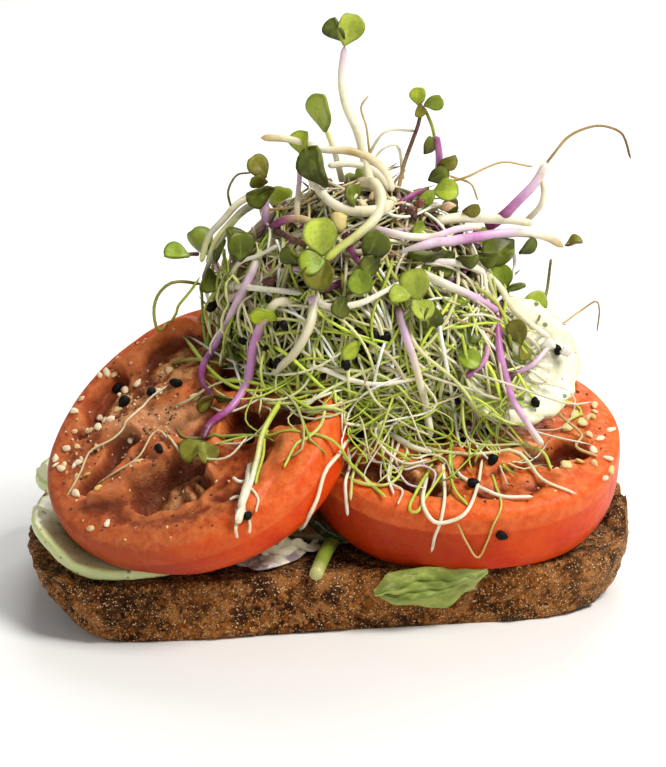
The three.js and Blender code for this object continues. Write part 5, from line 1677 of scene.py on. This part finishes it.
# Dark kinds for the threads deep in the heap, as painted shade.
DEEP_SHADE_KINDS = [["grass", "shade_green"], ["shade_green", "olive"], ["olive", "brown"], ["leaf", "grass"]]
WHITES = [["white", "cream"], ["cream", "pale"], ["white", "white"], ["straw", "cream"]]
STEM_KINDS = [["white", "cream"], ["cream", "lilac", "purple"], ["white", "pink"],
              ["wine", "purple", "cream"]]
DRY = [["straw", "brown"], ["cream", "straw"], ["wine", "purple"], ["white", "cream"]]
MIXED = GREENS + WHITES

# Strands laid over the picture: name, count, seed, where their middles are, lean, length, lift and
# radius, then kinds and their shares, and what differs from the usual.
PICTURE_STRANDS = [
    ("left_upright", 60, 121, ((216, 300), (240, 350)), (1.6, 0.3), (90, 180), (-1.5, 1.5), (0.24, 0.46),
     MIXED, [0.2, 0.25, 0.1, 0.1, 0.15, 0.1, 0.1, 0.0], {}),
    ("middle_tangle", 80, 122, ((290, 490), (285, 400)), (1.3, 0.75), (90, 190), (-1.5, 1.5), (0.24, 0.5),
     MIXED, [0.2, 0.2, 0.1, 0.05, 0.2, 0.15, 0.1, 0.0], {}),
    ("long_left", 42, 129, ((222, 330), (290, 360)), (1.5, 0.3), (120, 220), (0.5, 3), (0.3, 0.5),
     MIXED, [0.2, 0.2, 0.15, 0.0, 0.2, 0.15, 0.1, 0.0], {"steps": 24}),
    ("long_middle", 64, 130, ((320, 490), (300, 400)), (1.3, 0.5), (120, 240), (0.5, 3), (0.3, 0.52),
     MIXED, [0.2, 0.2, 0.15, 0.0, 0.2, 0.15, 0.1, 0.0], {"steps": 24}),
    ("foot_tangle", 45, 123, ((245, 420), (374, 408)), (0.15, 0.4), (120, 230), (0.5, 3), (0.26, 0.5),
     MIXED, [0.3, 0.2, 0.15, 0.0, 0.15, 0.15, 0.05, 0.0], {"steps": 22}),
    ("right_cover", 45, 124, ((468, 508), (290, 370)), (1.0, 0.45), (80, 150), (0.5, 3.5), (0.26, 0.6),
     WHITES + GREENS, [0.3, 0.25, 0.15, 0.05, 0.1, 0.1, 0.05, 0.0], {}),
    ("right_foot", 70, 125, ((365, 505), (395, 450)), (0.9, 0.9), (80, 170), (0, 2.5), (0.22, 0.42),
     MIXED, [0.25, 0.25, 0.1, 0.1, 0.1, 0.1, 0.1, 0.0], {"steps": 19}),
    ("loose_foot", 40, 128, ((340, 500), (436, 476)), (1.2, 0.8), (80, 170), (0, 1.5), (0.16, 0.32),
     MIXED, [0.15, 0.2, 0.15, 0.05, 0.2, 0.15, 0.1, 0.0], {"curl": 0.02, "steps": 19}),
    ("crown_tangle", 140, 126, ((258, 455), (184, 265)), (0.3, 1.0), (60, 130), (-2, 1.5), (0.2, 0.5),
     WHITES + DRY, [0.2, 0.2, 0.15, 0.1, 0.1, 0.1, 0.05, 0.1], {}),
]


def across_view(move):
    """A move in the picture, in points, as a move in the frame, in mm."""
    return (move[0] * ACROSS - move[1] * UPWARD) * DISTANCE / FOCAL_PIXELS


REAR_LEAVES = [((-26, 21, 67.5), (-0.6, 0.3, 0.8)), ((37, 21, 64.5), (0.7, 0.2, 0.8)),
               ((6, 25, 74.5), (0.2, 0.4, 0.9))]
MORE_LEAVES = 26
LEAF_LIFT = 3.6  # mm from the heap's surface toward the viewer


def all_leaves(material):
    """The seed leaves of the picture, those of the stems at the back and more all round."""
    rng = np.random.default_rng(105)
    items = []
    for spot, (base, tip, colour, turned) in zip(seen([leaf[0] for leaf in LEAVES], LEAF_LIFT), LEAVES):
        way = across_view(np.subtract(tip, base))
        twist = turned * rng.choice([-1, 1])
        up = -AHEAD * math.cos(twist) + np.cross(-AHEAD, unit(way)) * math.sin(twist)
        items.append((spot, unit(way) - 0.25 * AHEAD, up, np.linalg.norm(way), colour))
    for spot, way in REAR_LEAVES:
        items.append((np.array(spot), way, (0.1, 0.9, 0.3), 7.3, "leaf"))
    for _ in range(MORE_LEAVES):
        turn = rng.uniform(0, TAU)
        rise = rng.uniform(0.45, 0.97)
        spot = clear(heap_point(turn, rise, rng.uniform(-1.5, 2)), 1, -2)
        out = unit(heap_point(turn, rise, 5.0) - heap_point(turn, rise, 0.0))
        way = unit(rng.normal(0, 1, 3) + 0.6 * out)
        up = unit(out + 0.5 * rng.normal(0, 1, 3))
        colour = str(rng.choice(["leaf", "shade_green", "lime", "olive", "shade_green"]))
        items.append((spot, way, up, rng.uniform(4, 6.5), colour))
    seed_leaves("seed_leaves", items, material, 106)


SEED_SIZE = np.array([2.2, 3.0, 1.9])
MORE_SEEDS = 26
FOOT_ROW = 400  # the row of the picture where the thicker tangle of the heap's foot starts
SEED_LIFT = 3.2  # mm from the heap's surface toward the viewer
SEED_LIFT_AT_FOOT = 4.4
MOVED = 1e-6  # mm; a smaller difference is rounding


def black_seeds(material):
    """The black seeds of the picture, on the cut faces or the strands, and more in the heap."""
    rng = np.random.default_rng(107)
    spots = seen(SEEDS, 1.0)
    rested = spots
    for tomato in TOMATOES.values():
        rested = rest_on_face(tomato, rested, 0.7, near=1.4)
    on_face = np.abs(rested - spots).max(axis=1, keepdims=True) > MOVED
    over_strands = np.where(np.array(SEEDS)[:, 1] > FOOT_ROW, SEED_LIFT_AT_FOOT, SEED_LIFT)
    spots = list(np.where(on_face, rested, seen(SEEDS, over_strands)))
    normals = [unit(-AHEAD + 0.4 * rng.normal(0, 1, 3)) for _ in spots]
    for _ in range(MORE_SEEDS):
        turn = rng.uniform(0, TAU)
        rise = rng.uniform(0.3, 0.7)
        spots.append(clear(heap_point(turn, rise, rng.uniform(-1.5, 0.5)), 0.9, 0))
        normals.append(unit(rng.normal(0, 1, 3)))
    sizes = [rng.uniform(0.85, 1.1) * SEED_SIZE for _ in spots]
    beads("heap_black_seeds", spots, normals, sizes, material, "sprout_heap", 108)


# Bits of peel, onion and dried herb in the heap: point of the picture, size, colour.
CRUMBS = [
    ((270, 281), (2.9, 2.1, 1.9), (86, 26, 8)), ((340, 222), (4.6, 3.6, 2.2), (226, 204, 132)),
    ((352, 196), (3.4, 2.2, 1.6), (244, 234, 206)), ((362, 204), (3.0, 1.6, 1.4), (236, 216, 180)),
    ((344, 206), (2.4, 1.4, 1.2), (246, 238, 214)), ((372, 196), (2.6, 1.4, 1.4), (228, 196, 150)),
    ((312, 300), (2.6, 2.0, 1.8), (214, 184, 206)), ((418, 204), (3.2, 2.0, 1.8), (112, 52, 26)),
    ((412, 212), (2.4, 3.6, 1.8), (84, 34, 20)), ((448, 206), (3.2, 1.8, 1.4), (234, 196, 160)),
    ((548, 344), (3.6, 2.0, 1.2), (250, 246, 236)), ((566, 352), (3.0, 2.0, 1.2), (236, 230, 214)),
]
CRUMB_LIFT = 2.4  # mm from the heap's surface toward the viewer


def heap_crumbs(material):
    """The bits in the heap that the picture shows."""
    places, sizes, colours = zip(*CRUMBS)
    beads("heap_crumbs", seen(places, CRUMB_LIFT), [-AHEAD] * len(CRUMBS), sizes, material, "sprout_heap",
          109, 0.4, [linear(colour) for colour in colours])


# Larger flakes in full view: point of the picture and kind.
LEFT_FLAKES = [
    (75, 412, 0), (95, 408, 0), (117, 408, 1), (90, 423, 0), (92, 432, 1), (100, 430, 0), (103, 418, 0),
    (110, 417, 0), (67, 450, 0), (57, 460, 0), (62, 470, 0), (78, 463, 0), (97, 447, 1), (88, 490, 0),
    (77, 495, 0), (92, 530, 1), (167, 367, 1), (195, 398, 2), (140, 467, 2), (128, 435, 0), (113, 372, 1),
    (122, 384, 0), (136, 379, 0), (158, 392, 0),
]
RIGHT_FLAKES = [
    (568, 428, 2), (582, 424, 2), (593, 452, 0), (608, 459, 0), (610, 469, 2), (566, 467, 2), (558, 462, 1),
    (600, 440, 0), (589, 437, 1), (576, 415, 2), (604, 478, 0),
]
# Size and colour of each kind.
FLAKE_KINDS = [((1.5, 2.4, 0.9), (244, 222, 186)), ((1.6, 2.2, 0.9), (230, 194, 138)),
               ((2.3, 2.9, 0.9), (232, 208, 136))]
FLAKE_TINTS = [(244, 222, 178), (236, 198, 142), (250, 236, 204), (226, 190, 104)]
CRUMB_TINTS = [(60, 26, 10), (120, 60, 26), (226, 166, 104), (90, 40, 18), (240, 206, 156)]


def large_flakes(name, material, flakes, seed):
    """Flakes of the picture on the cut face of a tomato."""
    tomato = TOMATOES[name]
    spots = rest_on_face(tomato, seen([flake[:2] for flake in flakes], 0.6), 0.3)
    sizes, colours = zip(*(FLAKE_KINDS[flake[2]] for flake in flakes))
    beads(f"{name}_large_flakes", spots, [tomato["normal"]] * len(flakes), sizes, material, name, seed, 0.35,
          [linear(colour) for colour in colours])


def strew(name, kind, material, rng, places, over, tilt, scale, size, tints, seed, roughness, fineness):
    """Bits at angles and shares of the radius of a cut face, tilted, scaled and tinted at random."""
    normal = np.array(TOMATOES[name]["normal"])
    spots = list(face_point(TOMATOES[name], *places, over))
    tilts = [unit(normal + tilt * rng.normal(0, 1, 3)) for _ in spots]
    sizes = [rng.uniform(*scale) * np.array(size) for _ in spots]
    colours = [linear(tints[k]) for k in rng.integers(0, len(tints), len(spots))]
    beads(f"{name}_{kind}", spots, tilts, sizes, material, name, seed, roughness, colours, fineness)


def toppings(name, material, flake_from, flake_to, flakes, crumbs, seed):
    """Pale flakes near the rim and small crumbs on a cut face."""
    rng = np.random.default_rng(seed)
    places = rng.uniform(flake_from, flake_to, flakes), rng.uniform(0.68, 0.95, flakes)
    strew(name, "flakes", material, rng, places, 0.25, 0.4, (0.55, 1.1), (1.6, 2.5, 0.9), FLAKE_TINTS,
          seed + 2, 0.35, 2)
    places = rng.normal((flake_from + flake_to) / 2, 1.0, crumbs), rng.uniform(0.15, 0.93, crumbs)
    strew(name, "crumbs", material, rng, places, 0.05, 0.6, (0.2, 0.75), (1, 1.5, 0.8), CRUMB_TINTS,
          seed + 3, 0.5, 1)


# ---- the pieces ----
stem_material = stalk_look("sprout_stem", 0.34, 0.12)
thread_material = stalk_look("sprout_thread", 0.42, 0.12)
tomato_material = tomato_look()
cucumber_material = cucumber_look()

bread_slice(bread_look())
for tomato_name, half in TOMATOES.items():
    tomato_half(tomato_name, half, tomato_material)
for cucumber_name in CUCUMBERS:
    cucumber_slice(cucumber_name, cucumber_material)
basil_leaf(leaf_look("basil"))
peel_strip(plain_look("peel", (18, 30, 12), (44, 62, 26), 1.5, 0.22, 0.3, coat=0.5))
cream_material = cream_look()
cream_smear(cream_material)
cream_frill(cream_material)
green_stem(stem_material)

heap_middle(plain_look("heap_shade", (12, 12, 3), (44, 40, 10), 1.2, 0.9, 0.8))
drawn_strands("radish_stems", stem_material, STEMS + REAR_STEMS, 42, 2.0, 12, 0.8)
strand_heap("deep_threads", thread_material, 760, 101, (0.35, 0.6), DEEP_SHADE_KINDS, [0.3, 0.25, 0.2, 0.25], sides=4,
            zone=everywhere, length=(16, 36), out=(-7, -2.5), slope=(1.1, 0.7), steps=13)
strand_heap("green_threads", thread_material, 400, 102, (0.26, 0.46), GREENS, [0.3, 0.35, 0.15, 0.2],
            zone=lower, length=(26, 60), out=(-5, -1), slope=(1.1, 0.7), steps=19)
strand_heap("left_threads", thread_material, 70, 103, (0.26, 0.46), GREENS, [0.25, 0.3, 0.1, 0.35],
            zone=left_side, length=(20, 42), out=(-4, -0.5), slope=(1.5, 0.35))
strand_heap("left_fringe", thread_material, 80, 112, (0.24, 0.46), MIXED,
            [0.2, 0.2, 0.1, 0.15, 0.15, 0.1, 0.05, 0.05], zone=left_side, length=(20, 44), out=(0.3, 3.2),
            slope=(1.35, 0.35))
strand_heap("white_threads", thread_material, 170, 104, (0.26, 0.5), WHITES, [0.35, 0.3, 0.2, 0.15],
            zone=everywhere, length=(26, 64), out=(-4.5, -0.5), slope=(0.9, 0.9), steps=19)
strand_heap("crown_threads", thread_material, 150, 111, (0.22, 0.5), WHITES + DRY,
            [0.15, 0.2, 0.1, 0.15, 0.12, 0.13, 0.05, 0.1], zone=crown, length=(18, 44), out=(-3.5, 0.4),
            slope=(0.2, 0.8))
strand_heap("more_stems", stem_material, 60, 109, (0.7, 1.1), STEM_KINDS, [0.5, 0.2, 0.2, 0.1], sides=8,
            zone=right_top, length=(28, 56), out=(-4, -0.8), slope=(0.1, 0.45), curl=0.02, hooks=0, steps=23)
for strands_name, *row, unusual in PICTURE_STRANDS:
    picture_strands(strands_name, thread_material, *row, **unusual)
hanging_threads(thread_material, 45, 110)
drawn_strands("loose_threads", thread_material, THREADS, 40, 0.9, 6)

all_leaves(leaf_look("seed_leaf"))
black_seeds(plain_look("black_seed", (4, 4, 3), (14, 12, 9), 0.5, 0.55, 0.2, specular=0.15))
heap_crumbs(thread_material)
flake_material = stalk_look("flake", 0.5, 0.1)
large_flakes("tomato_left", flake_material, LEFT_FLAKES, 140)
large_flakes("tomato_right", flake_material, RIGHT_FLAKES, 141)
toppings("tomato_left", flake_material, 2.1, 3.9, 18, 420, 120)
toppings("tomato_right", flake_material, -0.5, 0.8, 12, 160, 130)

# ---- floor, lights, camera ----
scene = bpy.context.scene


def floor(half):
    """A square floor, half a side in metres."""
    mesh = bpy.data.meshes.new("floor")
    corners = [(-half, -half, 0), (half, -half, 0), (half, half, 0), (-half, half, 0)]
    mesh.from_pydata(corners, [], [(0, 1, 2, 3)])
    mesh.materials.append(Look("floor").finish((*linear((236, 236, 234)), 1), 0.8))
    plane = bpy.data.objects.new("floor", mesh)
    scene.collection.objects.link(plane)


def aimed(name, data, place, way):
    """A lamp or camera at a place, looking along a way."""
    item = bpy.data.objects.new(name, data)
    item.location = place
    item.rotation_euler = way.to_track_quat("-Z", "Y").to_euler()
    scene.collection.objects.link(item)
    return item


def area_light(name, place, size, power, colour=(1, 1, 1)):
    """A square lamp that looks at the middle of the sandwich; metres and watts."""
    lamp = bpy.data.lights.new(name, "AREA")
    lamp.energy = power
    lamp.size = size
    lamp.color = colour
    aimed(name, lamp, place, Vector((0, -0.01, 0.05)) - Vector(place))


floor(4)
area_light("key", (0.4, -0.3, 0.7), 0.3, 7.4, (1, 0.98, 0.94))
area_light("rear", (0.15, 0.6, 0.6), 0.5, 4.4)
area_light("fill", (-0.7, -0.5, 0.35), 0.6, 1.1, (1, 0.98, 0.96))
scene.world = bpy.data.worlds.new("world")
scene.world.use_nodes = True
sky = scene.world.node_tree.nodes["Background"]
sky.inputs["Color"].default_value = (1, 1, 1, 1)
sky.inputs["Strength"].default_value = 0.28

camera = bpy.data.cameras.new("camera")
camera.sensor_width = 36
camera.lens = camera.sensor_width * FOCAL_PIXELS / IMAGE_SIZE[1]
scene.camera = aimed("camera", camera, EYE * MM, Vector(AHEAD))
scene.view_settings.view_transform = "Standard"
scene.view_settings.look = "None"
